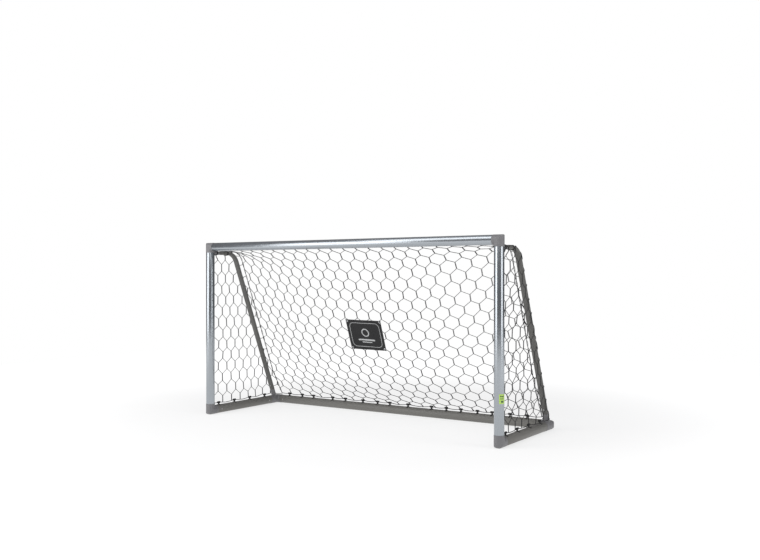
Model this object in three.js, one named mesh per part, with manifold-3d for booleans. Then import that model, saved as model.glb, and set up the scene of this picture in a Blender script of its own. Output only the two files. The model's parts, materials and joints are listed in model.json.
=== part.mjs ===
// A garden football goal: an aluminium front frame, a powder-coated base and sloping supports, joined by
// plug-in plastic corners with sprung snap buttons, and a bag net on clips. Millimetres, +Z up, +Y towards
// the back of the goal, +X towards its right post. The origin is on the ground, in the middle of the goal.
import * as THREE from 'three';
import { mergeVertices } from 'three/addons/utils/BufferGeometryUtils.js';
import Module from 'manifold-3d';

const wasm = await Module();
wasm.setup();

// Overall size of the assembled goal.
const GOAL_WIDTH = 2966;
const GOAL_HEIGHT = 1560;
const GOAL_DEPTH = 1020;

// Round main tubes and the corner fittings that plug into them.
const TUBE_RADIUS = 38;
const TUBE_WALL = 2;
const FITTING_RADIUS = 39.4;
const SOLE_CUT = 1.1;
const SPIGOT_RADIUS = TUBE_RADIUS - TUBE_WALL - 0.4;
const SPIGOT_BORE = 31;
const SPIGOT_LENGTH = 80;
const SEAM = 0.3;

// How far each arm of a corner reaches from the crossing of its axes before the tube begins.
const TOP_BAR_REACH = 48;
const TOP_POST_REACH = 50;
const FRONT_POST_REACH = 58;
const FRONT_BASE_REACH = 70;
const REAR_BASE_REACH = 120;
const REAR_BAR_REACH = 60;
const TOP_ROUNDING = 10;
const BASE_ROUNDING = 36;

// Oval support tube, its side-view route, and the oval arms and spigots that hold it.
const OVAL_WIDTH = 51;
const OVAL_THICKNESS = 29.5;
const OVAL_WALL = 2;
const OVAL_PLAY = 0.4;
const OVAL_SPIGOT_WALL = 3;
const SUPPORT_DROP = 52.2;
const SUPPORT_CORNER_Y = -159;
const SUPPORT_FOOT_Y = 434.5;
const SUPPORT_BEND = 122;
const TOP_ARM_REACH = 96;
const FOOT_ARM_REACH = 110;
const OVAL_SPIGOT_LENGTH = 70;
const BEND_STEPS = 9;

// Snap buttons: one spring-steel stamping each, a domed stud on a leaf.
const BUTTON_RADIUS = 4.5;
const BUTTON_PROUD = 3;
const BUTTON_DOME = 1.6;
const BUTTON_PLAY = 0.3;
const BUTTON_INSET = 42;
const LEAF_LENGTH = 46;
const LEAF_WIDTH = 10;
const LEAF_THICKNESS = 1.2;
const LEAF_OVERHANG = 7;

// Net, its clips, the banner on it and the label on the right post.
const NET_THICKNESS = 4;
const NET_STANDOFF = 4;
const NET_FRONT_GAP = 4.5;
const NET_FOOT_HEIGHT = 112;
const CLIP_LENGTH = 16;
const CLIP_SHELL = 2.4;
const CLIP_HALF_ANGLE = 0.62;
const CLIP_STEM = 5;
const CLIP_HEIGHT = 30;
const CLIP_HOOK_RADIUS = 8.5;
const CLIP_EYE_RADIUS = 4.6;
const REAR_CLIP_X = [
  -1285, -1125, -985, -755, -605, -405, -240, -105, 90, 335, 485, 630, 790, 930, 1095, 1250,
];
const SIDE_CLIP_SHARES = [0.03, 0.32, 0.62, 0.92];
const NET_FREE_HALF = 1384;
const NET_SLACK_POWER = 2.2;
const NET_SLACK_HIGH = { y: -190, z: 1450 };
const NET_SLACK_LOW = { y: -120, z: 430 };
const NET_COLUMNS = 12;
const NET_ROWS = 14;
const BANNER_WIDTH = 358;
const BANNER_HEIGHT = 283;
const BANNER_THICKNESS = 1.6;
const BANNER_X = 0;
const BANNER_Z = 757;
const LABEL_Z = 363;
const LABEL_HEIGHT = 70;
const LABEL_ARC = 1.3;
const LABEL_DIRECTION = 1.08;
const LABEL_THICKNESS = 0.6;

// Mesh fineness, and how far the two halves of a mitre run into each other.
const ROUND_SIDES = 24;
const SMALL_SIDES = 8;
const ARC_STEPS = 4;
const MITRE_OVERLAP = 0.05;

const POST_X = GOAL_WIDTH / 2 - FITTING_RADIUS;
const FRONT_Y = FITTING_RADIUS - GOAL_DEPTH / 2;
const REAR_Y = -FRONT_Y;
const BASE_Z = FITTING_RADIUS - SOLE_CUT;
const BAR_Z = GOAL_HEIGHT - FITTING_RADIUS;
const ARM_Z = BAR_Z - SUPPORT_DROP;
const SLOPE = Math.atan2(SUPPORT_FOOT_Y - SUPPORT_CORNER_Y, ARM_Z - BASE_Z);

const X = new THREE.Vector3(1, 0, 0);
const Y = new THREE.Vector3(0, 1, 0);
const Z = new THREE.Vector3(0, 0, 1);
const UP_SLOPE = new THREE.Vector3(0, -Math.sin(SLOPE), Math.cos(SLOPE));
const OFF_SLOPE = new THREE.Vector3(0, Math.cos(SLOPE), Math.sin(SLOPE));
const SIDES = [['left', -1], ['right', 1]];

const MATERIALS = {
  anodised: new THREE.MeshStandardMaterial({ color: 0xa9b2b8, roughness: 0.32, metalness: 1.0 }),
  powder_coat: new THREE.MeshStandardMaterial({ color: 0x6d6e69, roughness: 0.5, metalness: 0.0 }),
  fitting_plastic: new THREE.MeshStandardMaterial({ color: 0x757678, roughness: 0.6, metalness: 0.0 }),
  spring_steel: new THREE.MeshStandardMaterial({ color: 0x8f9294, roughness: 0.35, metalness: 1.0 }),
  clip_plastic: new THREE.MeshStandardMaterial({ color: 0x141414, roughness: 0.5, metalness: 0.0 }),
  net_cord: new THREE.MeshStandardMaterial({ color: 0x1a1a1b, roughness: 0.9, metalness: 0.0 }),
  banner_fabric: new THREE.MeshStandardMaterial({ color: 0x1c1c1d, roughness: 0.8, metalness: 0.0 }),
  label_film: new THREE.MeshStandardMaterial({ color: 0xa9cf4a, roughness: 0.4, metalness: 0.0 }),
};

const goal = new THREE.Group();

// A closed three.js geometry, placed by a matrix, as a solid for cutting and joining.
function toSolid(geometry, matrix) {
  geometry.deleteAttribute('normal');
  geometry.deleteAttribute('uv');
  const merged = mergeVertices(geometry, 1e-3).applyMatrix4(matrix);
  return new wasm.Manifold(new wasm.Mesh({
    numProp: 3,
    vertProperties: merged.getAttribute('position').array,
    triVerts: new Uint32Array(merged.index.array),
  }));
}

// The matrix that carries x and y onto the two directions given, and z onto their cross product.
function basis(origin, xAxis, yAxis) {
  const zAxis = new THREE.Vector3().crossVectors(xAxis, yAxis);
  return new THREE.Matrix4().makeBasis(xAxis, yAxis, zAxis).setPosition(origin);
}

// A point some way from a start, along a direction.
function along(start, direction, distance) {
  return start.clone().addScaledVector(direction, distance);
}

// A round bar from a start point; level is a direction across it, where one of its corners lies.
function rod(start, direction, length, radius, level, sides = ROUND_SIDES) {
  const geometry = new THREE.CylinderGeometry(radius, radius, length, sides).translate(0, length / 2, 0);
  const across = new THREE.Vector3().crossVectors(direction, level);
  return toSolid(geometry, basis(start, across, direction));
}

// A flat outline pushed along its own normal from a start point.
function prism(shape, start, xAxis, yAxis, length) {
  const geometry = new THREE.ExtrudeGeometry(shape, {
    depth: length, bevelEnabled: false, curveSegments: ARC_STEPS,
  });
  return toSolid(geometry, basis(start, xAxis, yAxis));
}

// A flat oval, thin along its x and wide along its y.
function ovalShape(width, thickness) {
  const radius = thickness / 2;
  const shift = (width - thickness) / 2;
  const shape = new THREE.Shape();
  shape.absarc(0, shift, radius, 0, Math.PI);
  shape.absarc(0, -shift, radius, Math.PI, 2 * Math.PI);
  return shape;
}

// An oval bar that runs in the side plane of the goal, wide across it.
function ovalBar(start, direction, length, inset) {
  const thin = new THREE.Vector3().crossVectors(X, direction);
  return prism(ovalShape(OVAL_WIDTH - 2 * inset, OVAL_THICKNESS - 2 * inset), start, thin, X, length);
}

function addPiece(name, solid, material) {
  const { vertProperties, triVerts, numProp } = solid.getMesh();
  const geometry = new THREE.BufferGeometry();
  const points = new THREE.InterleavedBuffer(vertProperties, numProp);
  geometry.setAttribute('position', new THREE.InterleavedBufferAttribute(points, 3, 0));
  geometry.setIndex(new THREE.BufferAttribute(triVerts, 1));
  const flat = geometry.toNonIndexed();
  flat.computeVertexNormals();
  const mesh = new THREE.Mesh(flat, material);
  mesh.name = name;
  goal.add(mesh);
}

// One arm of a mitred corner, on its own side of the mitre, with the outer corner rounded.
function mitredArm(corner, direction, other, reach, rounding) {
  const centre = rounding - FITTING_RADIUS;
  const region = new THREE.Shape();
  region.absarc(centre, centre, rounding, 1.25 * Math.PI - MITRE_OVERLAP / rounding, 1.5 * Math.PI);
  region.lineTo(reach, -FITTING_RADIUS);
  region.lineTo(reach, reach + MITRE_OVERLAP);
  const level = new THREE.Vector3().crossVectors(direction, other);
  const low = along(corner, level, -FITTING_RADIUS - 1);
  const wedge = prism(region, low, direction, other, 2 * FITTING_RADIUS + 2);
  const start = along(corner, direction, -FITTING_RADIUS - 1);
  return rod(start, direction, reach + FITTING_RADIUS + 1, FITTING_RADIUS, level).intersect(wedge);
}

// A hollow plug-in corner: two mitred arms with round spigots, and one oval arm where a support joins it.
function cornerSolid({ corner, arms, rounding, ovalArm }) {
  const [first, second] = arms;
  const level = new THREE.Vector3().crossVectors(first.direction, second.direction);
  let solid = mitredArm(corner, first.direction, second.direction, first.reach, rounding)
    .add(mitredArm(corner, second.direction, first.direction, second.reach, rounding));
  let hollow = null;
  for (const { direction, reach } of arms) {
    const end = reach + SPIGOT_LENGTH;
    solid = solid.add(rod(corner, direction, end, SPIGOT_RADIUS, level));
    const bore = rod(corner, direction, end + 1, SPIGOT_BORE, level);
    hollow = hollow ? hollow.add(bore) : bore;
  }
  if (ovalArm) {
    const { start, direction, reach } = ovalArm;
    const end = reach + OVAL_SPIGOT_LENGTH;
    const spigotInset = OVAL_WALL + OVAL_PLAY;
    solid = solid.add(ovalBar(start, direction, reach, 0)).add(ovalBar(start, direction, end, spigotInset));
    hollow = hollow.add(ovalBar(start, direction, end + 1, spigotInset + OVAL_SPIGOT_WALL));
  }
  return solid.subtract(hollow);
}

// A straight round tube between two points, with an open bore.
function tubeSolid(start, direction, length, level) {
  const bore = rod(along(start, direction, -1), direction, length + 2, TUBE_RADIUS - TUBE_WALL, level);
  return rod(start, direction, length, TUBE_RADIUS, level).subtract(bore);
}

// The support's centreline as stations, each a place and a direction: level at the top, then a bend, then
// straight down the slope. overrun lengthens both ends.
class SupportRoute extends THREE.Curve {
  constructor(x, overrun) {
    super();
    const turn = Math.PI / 2 - SLOPE;
    const tangent = SUPPORT_BEND * Math.tan(turn / 2);
    const centre = new THREE.Vector3(x, SUPPORT_CORNER_Y - tangent, ARM_Z - SUPPORT_BEND);
    const top = new THREE.Vector3(x, FRONT_Y + TOP_ARM_REACH + SEAM - overrun, ARM_Z);
    const foot = along(new THREE.Vector3(x, SUPPORT_FOOT_Y, BASE_Z), UP_SLOPE, FOOT_ARM_REACH + SEAM - overrun);
    this.stations = [{ point: top, tangent: Y }];
    for (let i = 0; i <= BEND_STEPS; i += 1) {
      const angle = turn * i / BEND_STEPS;
      const out = new THREE.Vector3(0, Math.sin(angle), Math.cos(angle));
      const ahead = new THREE.Vector3(0, Math.cos(angle), -Math.sin(angle));
      this.stations.push({ point: along(centre, out, SUPPORT_BEND), tangent: ahead });
    }
    this.stations.push({ point: foot, tangent: UP_SLOPE.clone().negate() });
  }

  get steps() {
    return this.stations.length - 1;
  }

  stationAt(share) {
    return this.stations[Math.round(share * this.steps)];
  }

  getPointAt(share) {
    return this.stationAt(share).point.clone();
  }

  getTangentAt(share) {
    return this.stationAt(share).tangent.clone();
  }
}

function supportSweep(x, overrun, inset) {
  const route = new SupportRoute(x, overrun);
  const geometry = new THREE.ExtrudeGeometry(ovalShape(OVAL_WIDTH - 2 * inset, OVAL_THICKNESS - 2 * inset), {
    extrudePath: route, steps: route.steps, curveSegments: ARC_STEPS,
  });
  return toSolid(geometry, new THREE.Matrix4());
}

// A snap button. seat is on the tube's axis, away points from the corner along the tube, out points
// through the walls; skin is how far the tube's outside is from its axis, and bore the spigot's inside.
function buttonSolid({ seat, away, out, skin, bore }) {
  const side = new THREE.Vector3().crossVectors(out, away);
  const leafTop = bore - BUTTON_PLAY;
  const height = skin + BUTTON_PROUD - leafTop;
  const profile = [
    new THREE.Vector2(0, -LEAF_THICKNESS / 2),
    new THREE.Vector2(BUTTON_RADIUS, -LEAF_THICKNESS / 2),
    new THREE.Vector2(BUTTON_RADIUS, height - BUTTON_DOME),
    new THREE.Vector2(BUTTON_RADIUS * 0.72, height - BUTTON_DOME * 0.3),
    new THREE.Vector2(0, height),
  ];
  const stud = toSolid(
    new THREE.LatheGeometry(profile, SMALL_SIDES),
    basis(along(seat, out, leafTop), side, out),
  );
  const strip = new THREE.Shape();
  strip.moveTo(-LEAF_OVERHANG, 0);
  strip.lineTo(-LEAF_OVERHANG, -LEAF_THICKNESS);
  strip.lineTo(LEAF_LENGTH * 0.55, -LEAF_THICKNESS);
  strip.lineTo(LEAF_LENGTH - LEAF_OVERHANG, -3 * LEAF_THICKNESS);
  strip.lineTo(LEAF_LENGTH - LEAF_OVERHANG, -2 * LEAF_THICKNESS);
  strip.lineTo(LEAF_LENGTH * 0.55, 0);
  const corner = along(along(seat, out, leafTop), side, -LEAF_WIDTH / 2);
  const leaf = prism(strip, corner, away.clone().negate(), out, LEAF_WIDTH);
  return stud.add(leaf);
}

// The hole that a snap button works in, through the tube and the spigot.
function buttonHole({ seat, out, skin, bore, away }) {
  const depth = skin + BUTTON_PROUD - bore + 4;
  return rod(along(seat, out, bore - 2), out, depth, BUTTON_RADIUS + BUTTON_PLAY, away, SMALL_SIDES);
}

function roundButton(corner, arm, out) {
  const seat = along(corner, arm.direction, arm.reach + BUTTON_INSET);
  const flatBore = Math.sqrt(SPIGOT_BORE ** 2 - (LEAF_WIDTH / 2) ** 2) - 0.5;
  return { seat, away: arm.direction, out, skin: TUBE_RADIUS, bore: flatBore };
}

function ovalButton(arm, out) {
  const seat = along(arm.start, arm.direction, arm.reach + BUTTON_INSET);
  const bore = OVAL_THICKNESS / 2 - OVAL_WALL - OVAL_PLAY - OVAL_SPIGOT_WALL;
  return { seat, away: arm.direction, out, skin: OVAL_THICKNESS / 2, bore };
}

function cut(solid, cutters) {
  return cutters.reduce((left, cutter) => left.subtract(cutter), solid);
}

// Everything on one side of the goal: posts, base tube, support, three corners and their eight buttons.
function addSide(name, sign) {
  const inward = new THREE.Vector3(-sign, 0, 0);
  const down = Z.clone().negate();
  const forward = Y.clone().negate();
  const underSlope = new THREE.Vector3().crossVectors(X, UP_SLOPE);
  const topCorner = new THREE.Vector3(sign * POST_X, FRONT_Y, BAR_Z);
  const frontCorner = new THREE.Vector3(sign * POST_X, FRONT_Y, BASE_Z);
  const rearCorner = new THREE.Vector3(sign * POST_X, REAR_Y, BASE_Z);

  const barArm = { direction: inward, reach: TOP_BAR_REACH };
  const postTopArm = { direction: down, reach: TOP_POST_REACH };
  const topOval = { start: along(topCorner, down, SUPPORT_DROP), direction: Y, reach: TOP_ARM_REACH };
  const postFootArm = { direction: Z, reach: FRONT_POST_REACH };
  const baseFrontArm = { direction: Y, reach: FRONT_BASE_REACH };
  const baseRearArm = { direction: forward, reach: REAR_BASE_REACH };
  const rearBarArm = { direction: inward, reach: REAR_BAR_REACH };
  const footOval = {
    start: new THREE.Vector3(sign * POST_X, SUPPORT_FOOT_Y, BASE_Z), direction: UP_SLOPE, reach: FOOT_ARM_REACH,
  };

  const buttons = {
    top_crossbar: roundButton(topCorner, barArm, Y),
    top_post: roundButton(topCorner, postTopArm, Y),
    top_support: ovalButton(topOval, down),
    front_post: roundButton(frontCorner, postFootArm, Y),
    front_base: roundButton(frontCorner, baseFrontArm, inward),
    rear_base: roundButton(rearCorner, baseRearArm, inward),
    rear_bar: roundButton(rearCorner, rearBarArm, forward),
    rear_support: ovalButton(footOval, underSlope),
  };
  const holes = Object.fromEntries(Object.entries(buttons).map(([key, value]) => [key, buttonHole(value)]));
  for (const [key, value] of Object.entries(buttons)) {
    addPiece(`snap_button_${name}_${key}`, buttonSolid(value), MATERIALS.spring_steel);
  }

  const ground = toSolid(
    new THREE.BoxGeometry(600, 600, 20),
    new THREE.Matrix4().makeTranslation(sign * POST_X, 0, -10),
  );
  const groundAt = (y) => ground.translate([0, y, 0]);
  const topSolid = cornerSolid({
    corner: topCorner, arms: [barArm, postTopArm], rounding: TOP_ROUNDING, ovalArm: topOval,
  });
  const frontSolid = cornerSolid({
    corner: frontCorner, arms: [postFootArm, baseFrontArm], rounding: BASE_ROUNDING,
  });
  const rearSolid = cornerSolid({
    corner: rearCorner, arms: [baseRearArm, rearBarArm], rounding: BASE_ROUNDING, ovalArm: footOval,
  });
  const topCuts = [holes.top_crossbar, holes.top_post, holes.top_support];
  const frontCuts = [holes.front_post, holes.front_base, groundAt(FRONT_Y)];
  const rearCuts = [holes.rear_base, holes.rear_bar, holes.rear_support, groundAt(REAR_Y)];
  addPiece(`top_corner_${name}`, cut(topSolid, topCuts), MATERIALS.fitting_plastic);
  addPiece(`front_corner_${name}`, cut(frontSolid, frontCuts), MATERIALS.fitting_plastic);
  addPiece(`rear_corner_${name}`, cut(rearSolid, rearCuts), MATERIALS.fitting_plastic);

  const postLength = BAR_Z - BASE_Z - TOP_POST_REACH - FRONT_POST_REACH - 2 * SEAM;
  const post = tubeSolid(along(frontCorner, Z, FRONT_POST_REACH + SEAM), Z, postLength, X);
  const notch = ovalBar(topOval.start, Y, TUBE_RADIUS + 2, -OVAL_PLAY);
  addPiece(`${name}_post`, cut(post, [notch, holes.top_post, holes.front_post]), MATERIALS.anodised);

  const baseLength = REAR_Y - FRONT_Y - FRONT_BASE_REACH - REAR_BASE_REACH - 2 * SEAM;
  const base = tubeSolid(along(frontCorner, Y, FRONT_BASE_REACH + SEAM), Y, baseLength, Z);
  addPiece(`${name}_base_tube`, cut(base, [holes.front_base, holes.rear_base]), MATERIALS.powder_coat);

  const support = supportSweep(sign * POST_X, 0, 0).subtract(supportSweep(sign * POST_X, 1, OVAL_WALL));
  addPiece(`${name}_support_tube`, cut(support, [holes.top_support, holes.rear_support]), MATERIALS.powder_coat);
  return { crossbar: holes.top_crossbar, rearBar: holes.rear_bar };
}

// A clip that grips the top of a base tube and carries the net's edge in a closed hook.
function clipSolid(place, tubeDirection) {
  const across = new THREE.Vector3().crossVectors(tubeDirection, Z);
  const inner = TUBE_RADIUS + SEAM;
  const outer = inner + CLIP_SHELL;
  const saddle = new THREE.Shape();
  saddle.absarc(0, 0, outer, Math.PI / 2 - CLIP_HALF_ANGLE, Math.PI / 2 + CLIP_HALF_ANGLE);
  saddle.absarc(0, 0, inner, Math.PI / 2 + CLIP_HALF_ANGLE, Math.PI / 2 - CLIP_HALF_ANGLE, true);
  const start = along(place, tubeDirection, CLIP_LENGTH / 2);
  const foot = prism(saddle, start, across, Z, CLIP_LENGTH);
  const hookCentre = along(place, Z, TUBE_RADIUS + CLIP_HEIGHT - CLIP_HOOK_RADIUS);
  const hookStart = along(hookCentre, tubeDirection, -CLIP_STEM);
  const hook = rod(hookStart, tubeDirection, 2 * CLIP_STEM, CLIP_HOOK_RADIUS, Z, SMALL_SIDES);
  const stemHeight = CLIP_HEIGHT - CLIP_HOOK_RADIUS - SEAM - 1;
  const stem = toSolid(
    new THREE.BoxGeometry(CLIP_STEM * 1.6, 2 * CLIP_STEM, stemHeight),
    basis(along(place, Z, inner + 1 + stemHeight / 2), across, tubeDirection),
  );
  const eye = rod(along(hookCentre, tubeDirection, -CLIP_LENGTH), tubeDirection, 2 * CLIP_LENGTH,
    CLIP_EYE_RADIUS, Z, SMALL_SIDES);
  return foot.add(stem).add(hook).subtract(eye);
}

// The point at a share of the length of a line through points.
function pointAlong(points, share) {
  const line = new THREE.CurvePath();
  points.slice(1).forEach((point, index) => line.add(new THREE.LineCurve3(points[index], point)));
  return line.getPoint(share);
}

// A closed shell over a grid. skin(i, j, layer) gives its inner points for layer 0 and its outer for layer 1.
function shellSolid(columns, rows, skin) {
  const positions = [];
  for (const layer of [0, 1]) {
    for (let j = 0; j <= rows; j += 1) {
      for (let i = 0; i <= columns; i += 1) positions.push(...skin(i, j, layer).toArray());
    }
  }
  const at = (i, j, layer) => (layer * (rows + 1) + j) * (columns + 1) + i;
  const faces = [];
  const wall = (a, b) => {
    const [outerA, outerB, innerA, innerB] = [at(...a, 1), at(...b, 1), at(...a, 0), at(...b, 0)];
    faces.push(outerB, outerA, innerA, outerB, innerA, innerB);
  };
  for (let j = 0; j < rows; j += 1) {
    for (let i = 0; i < columns; i += 1) {
      const outer = [at(i, j, 1), at(i + 1, j, 1), at(i + 1, j + 1, 1), at(i, j + 1, 1)];
      const inner = [at(i, j, 0), at(i, j + 1, 0), at(i + 1, j + 1, 0), at(i + 1, j, 0)];
      for (const [a, b, c, d] of [outer, inner]) faces.push(a, b, c, a, c, d);
    }
    wall([columns, j], [columns, j + 1]);
    wall([0, j + 1], [0, j]);
  }
  for (let i = 0; i < columns; i += 1) {
    wall([i, 0], [i + 1, 0]);
    wall([i + 1, rows], [i, rows]);
  }
  const geometry = new THREE.BufferGeometry();
  geometry.setAttribute('position', new THREE.Float32BufferAttribute(positions, 3));
  geometry.setIndex(faces);
  return toSolid(geometry, new THREE.Matrix4());
}

// The net as thin panels just outside the supports: the roof and the back, which sag between the supports,
// and one flat panel on each side.
function addNet() {
  const halfWidth = POST_X + OVAL_WIDTH / 2 + NET_STANDOFF;
  const innerRadius = SUPPORT_BEND + OVAL_THICKNESS / 2 + NET_STANDOFF;
  const turn = Math.PI / 2 - SLOPE;
  const bendY = SUPPORT_CORNER_Y - SUPPORT_BEND * Math.tan(turn / 2);
  const bendZ = ARM_Z - SUPPORT_BEND;
  const frontY = FRONT_Y + FITTING_RADIUS + NET_FRONT_GAP;
  const upright = Math.PI / 2;

  const bend = new THREE.EllipseCurve(bendY, bendZ, innerRadius, innerRadius, upright, upright - turn, true);
  const overSupport = [new THREE.Vector3(0, frontY, bendZ + innerRadius)];
  for (const point of bend.getPoints(BEND_STEPS)) overSupport.push(new THREE.Vector3(0, point.x, point.y));
  const slopeTop = overSupport.at(-1);
  const slopeLength = (slopeTop.z - NET_FOOT_HEIGHT) / Math.cos(SLOPE);
  const foot = along(slopeTop, UP_SLOPE, -slopeLength);
  const roofLength = bendY - frontY + innerRadius * turn;
  const roofShare = roofLength / (roofLength + slopeLength);
  overSupport.push(foot);
  const slack = new THREE.CubicBezierCurve3(
    overSupport[0],
    new THREE.Vector3(0, NET_SLACK_HIGH.y, NET_SLACK_HIGH.z),
    new THREE.Vector3(0, NET_SLACK_LOW.y, NET_SLACK_LOW.z),
    foot,
  );
  const netPoint = (x, share) => {
    const free = 1 - Math.min(Math.abs(x) / NET_FREE_HALF, 1) ** NET_SLACK_POWER;
    return pointAlong(overSupport, share).lerp(slack.getPoint(share), free).setX(x);
  };
  const netOut = (x, share) => {
    const near = Math.max(share - 0.002, 0);
    const run = netPoint(x, Math.min(share + 0.002, 1)).sub(netPoint(x, near));
    return new THREE.Vector3().crossVectors(X, run).normalize();
  };
  const stations = [-halfWidth];
  for (let i = 0; i <= NET_COLUMNS; i += 1) stations.push(NET_FREE_HALF * ((2 * i) / NET_COLUMNS - 1));
  stations.push(halfWidth);
  const gap = (1.5 * SEAM) / (roofLength + slopeLength);
  for (const [name, first, last] of [['net_roof', 0, roofShare], ['net_back', roofShare + gap, 1]]) {
    const skin = (i, j, layer) => {
      const share = first + ((last - first) * j) / NET_ROWS;
      return along(netPoint(stations[i], share), netOut(stations[i], share), layer * NET_THICKNESS);
    };
    addPiece(name, shellSolid(stations.length - 1, NET_ROWS, skin), MATERIALS.net_cord);
  }

  const side = new THREE.Shape();
  side.moveTo(frontY, NET_FOOT_HEIGHT);
  side.lineTo(foot.y, NET_FOOT_HEIGHT);
  side.absarc(bendY, bendZ, innerRadius, upright - turn, upright);
  side.lineTo(frontY, bendZ + innerRadius);
  for (const [name, sign] of SIDES) {
    const inner = halfWidth + SEAM;
    const start = new THREE.Vector3(sign > 0 ? inner : -inner - NET_THICKNESS, 0, 0);
    addPiece(`net_${name}`, prism(side, start, Y, Z, NET_THICKNESS), MATERIALS.net_cord);
  }

  let [above, below] = [roofShare, 1];
  while (below - above > 1e-6) {
    const half = (above + below) / 2;
    [above, below] = netPoint(BANNER_X, half).z > BANNER_Z ? [half, below] : [above, half];
  }
  const bannerOut = netOut(BANNER_X, above);
  const middle = along(netPoint(BANNER_X, above), bannerOut, -SEAM - BANNER_THICKNESS / 2);
  const banner = toSolid(
    new THREE.BoxGeometry(BANNER_WIDTH, BANNER_HEIGHT, BANNER_THICKNESS),
    basis(middle, X, new THREE.Vector3().crossVectors(X, bannerOut)),
  );
  addPiece('banner', banner, MATERIALS.banner_fabric);
}

function addClips() {
  REAR_CLIP_X.forEach((x, index) => {
    const place = new THREE.Vector3(x, REAR_Y, BASE_Z);
    addPiece(`net_clip_rear_${index + 1}`, clipSolid(place, X), MATERIALS.clip_plastic);
  });
  const first = FRONT_Y + FRONT_BASE_REACH + SEAM + CLIP_LENGTH;
  const last = REAR_Y - REAR_BASE_REACH - SEAM - CLIP_LENGTH;
  for (const [name, sign] of SIDES) {
    SIDE_CLIP_SHARES.forEach((share, index) => {
      const place = new THREE.Vector3(sign * POST_X, first + share * (last - first), BASE_Z);
      addPiece(`net_clip_${name}_${index + 1}`, clipSolid(place, Y), MATERIALS.clip_plastic);
    });
  }
}

// The label wraps part of the way round the right post, on its outer front side.
function addLabel() {
  const inner = TUBE_RADIUS + SEAM;
  const middle = LABEL_DIRECTION - Math.PI / 2;
  const shape = new THREE.Shape();
  shape.absarc(0, 0, inner + LABEL_THICKNESS, middle - LABEL_ARC / 2, middle + LABEL_ARC / 2);
  shape.absarc(0, 0, inner, middle + LABEL_ARC / 2, middle - LABEL_ARC / 2, true);
  const start = new THREE.Vector3(POST_X, FRONT_Y, LABEL_Z - LABEL_HEIGHT / 2);
  addPiece('post_label', prism(shape, start, X, Y, LABEL_HEIGHT), MATERIALS.label_film);
}

const barHoles = SIDES.map(([name, sign]) => addSide(name, sign));
const crossbarHalf = POST_X - TOP_BAR_REACH - SEAM;
const crossbar = tubeSolid(new THREE.Vector3(-crossbarHalf, FRONT_Y, BAR_Z), X, 2 * crossbarHalf, Y);
addPiece('crossbar', cut(crossbar, barHoles.map((holes) => holes.crossbar)), MATERIALS.anodised);
const rearBarHalf = POST_X - REAR_BAR_REACH - SEAM;
const rearBar = tubeSolid(new THREE.Vector3(-rearBarHalf, REAR_Y, BASE_Z), X, 2 * rearBarHalf, Z);
addPiece('rear_base_bar', cut(rearBar, barHoles.map((holes) => holes.rearBar)), MATERIALS.powder_coat);
addNet();
addClips();
addLabel();

export default goal;
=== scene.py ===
# %% [markdown]
# # A football goal with a hexagonal net
#
# A plug-in garden goal: round aluminium tubes in front, grey coated tubes on the ground, two sloping oval
# supports, and a black knotless net. Every piece is built here round a fixed frame of plain solids, which says
# where each tube, corner, clip and button is. Lengths are in metres, X runs along the crossbar, Y goes from
# the mouth to the back of the net, and Z is up.

# %% The frame
import json
import math
import bpy
from mathutils import Matrix, Vector, noise


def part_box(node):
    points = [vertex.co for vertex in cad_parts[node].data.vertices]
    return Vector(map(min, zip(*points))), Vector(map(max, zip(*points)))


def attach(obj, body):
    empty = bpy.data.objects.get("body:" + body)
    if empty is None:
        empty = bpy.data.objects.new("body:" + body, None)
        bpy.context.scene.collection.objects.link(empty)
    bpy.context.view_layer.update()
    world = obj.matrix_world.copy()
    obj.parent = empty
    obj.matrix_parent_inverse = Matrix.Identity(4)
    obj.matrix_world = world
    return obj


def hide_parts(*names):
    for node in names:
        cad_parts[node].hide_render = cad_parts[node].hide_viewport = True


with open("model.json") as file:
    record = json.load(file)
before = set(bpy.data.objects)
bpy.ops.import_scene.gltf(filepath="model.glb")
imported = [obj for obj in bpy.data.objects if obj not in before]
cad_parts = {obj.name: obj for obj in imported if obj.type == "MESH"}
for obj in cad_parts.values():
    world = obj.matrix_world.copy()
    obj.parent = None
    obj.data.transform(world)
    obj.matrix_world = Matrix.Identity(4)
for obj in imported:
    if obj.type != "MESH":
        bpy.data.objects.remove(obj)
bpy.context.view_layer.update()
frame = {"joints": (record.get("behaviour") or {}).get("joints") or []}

# %% [markdown]
# ## Sizes
#
# Most sizes are read from the frame's boxes: a round tube's box gives its axis and its radius. Only what a box
# can't say is written down, such as wall thicknesses and the bend of the supports.

# %% Sizes
X, Y, Z = Vector((1, 0, 0)), Vector((0, 1, 0)), Vector((0, 0, 1))
SIDES = (("left", -1), ("right", 1))


def middle(node):
    low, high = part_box(node)
    return (low + high) / 2


TUBE_WALL = 0.002
SEAM = 0.0003
post_low, post_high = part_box("right_post")
tube_radius = (post_high.x - post_low.x) / 2
post_x = middle("right_post").x
front_y = middle("crossbar").y
bar_z = middle("crossbar").z
rear_y = middle("rear_base_bar").y
base_z = middle("rear_base_bar").z
print("post axis", round(post_x, 4), round(front_y, 4), "rear", round(rear_y, 4), "bar", round(bar_z, 4))

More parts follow.
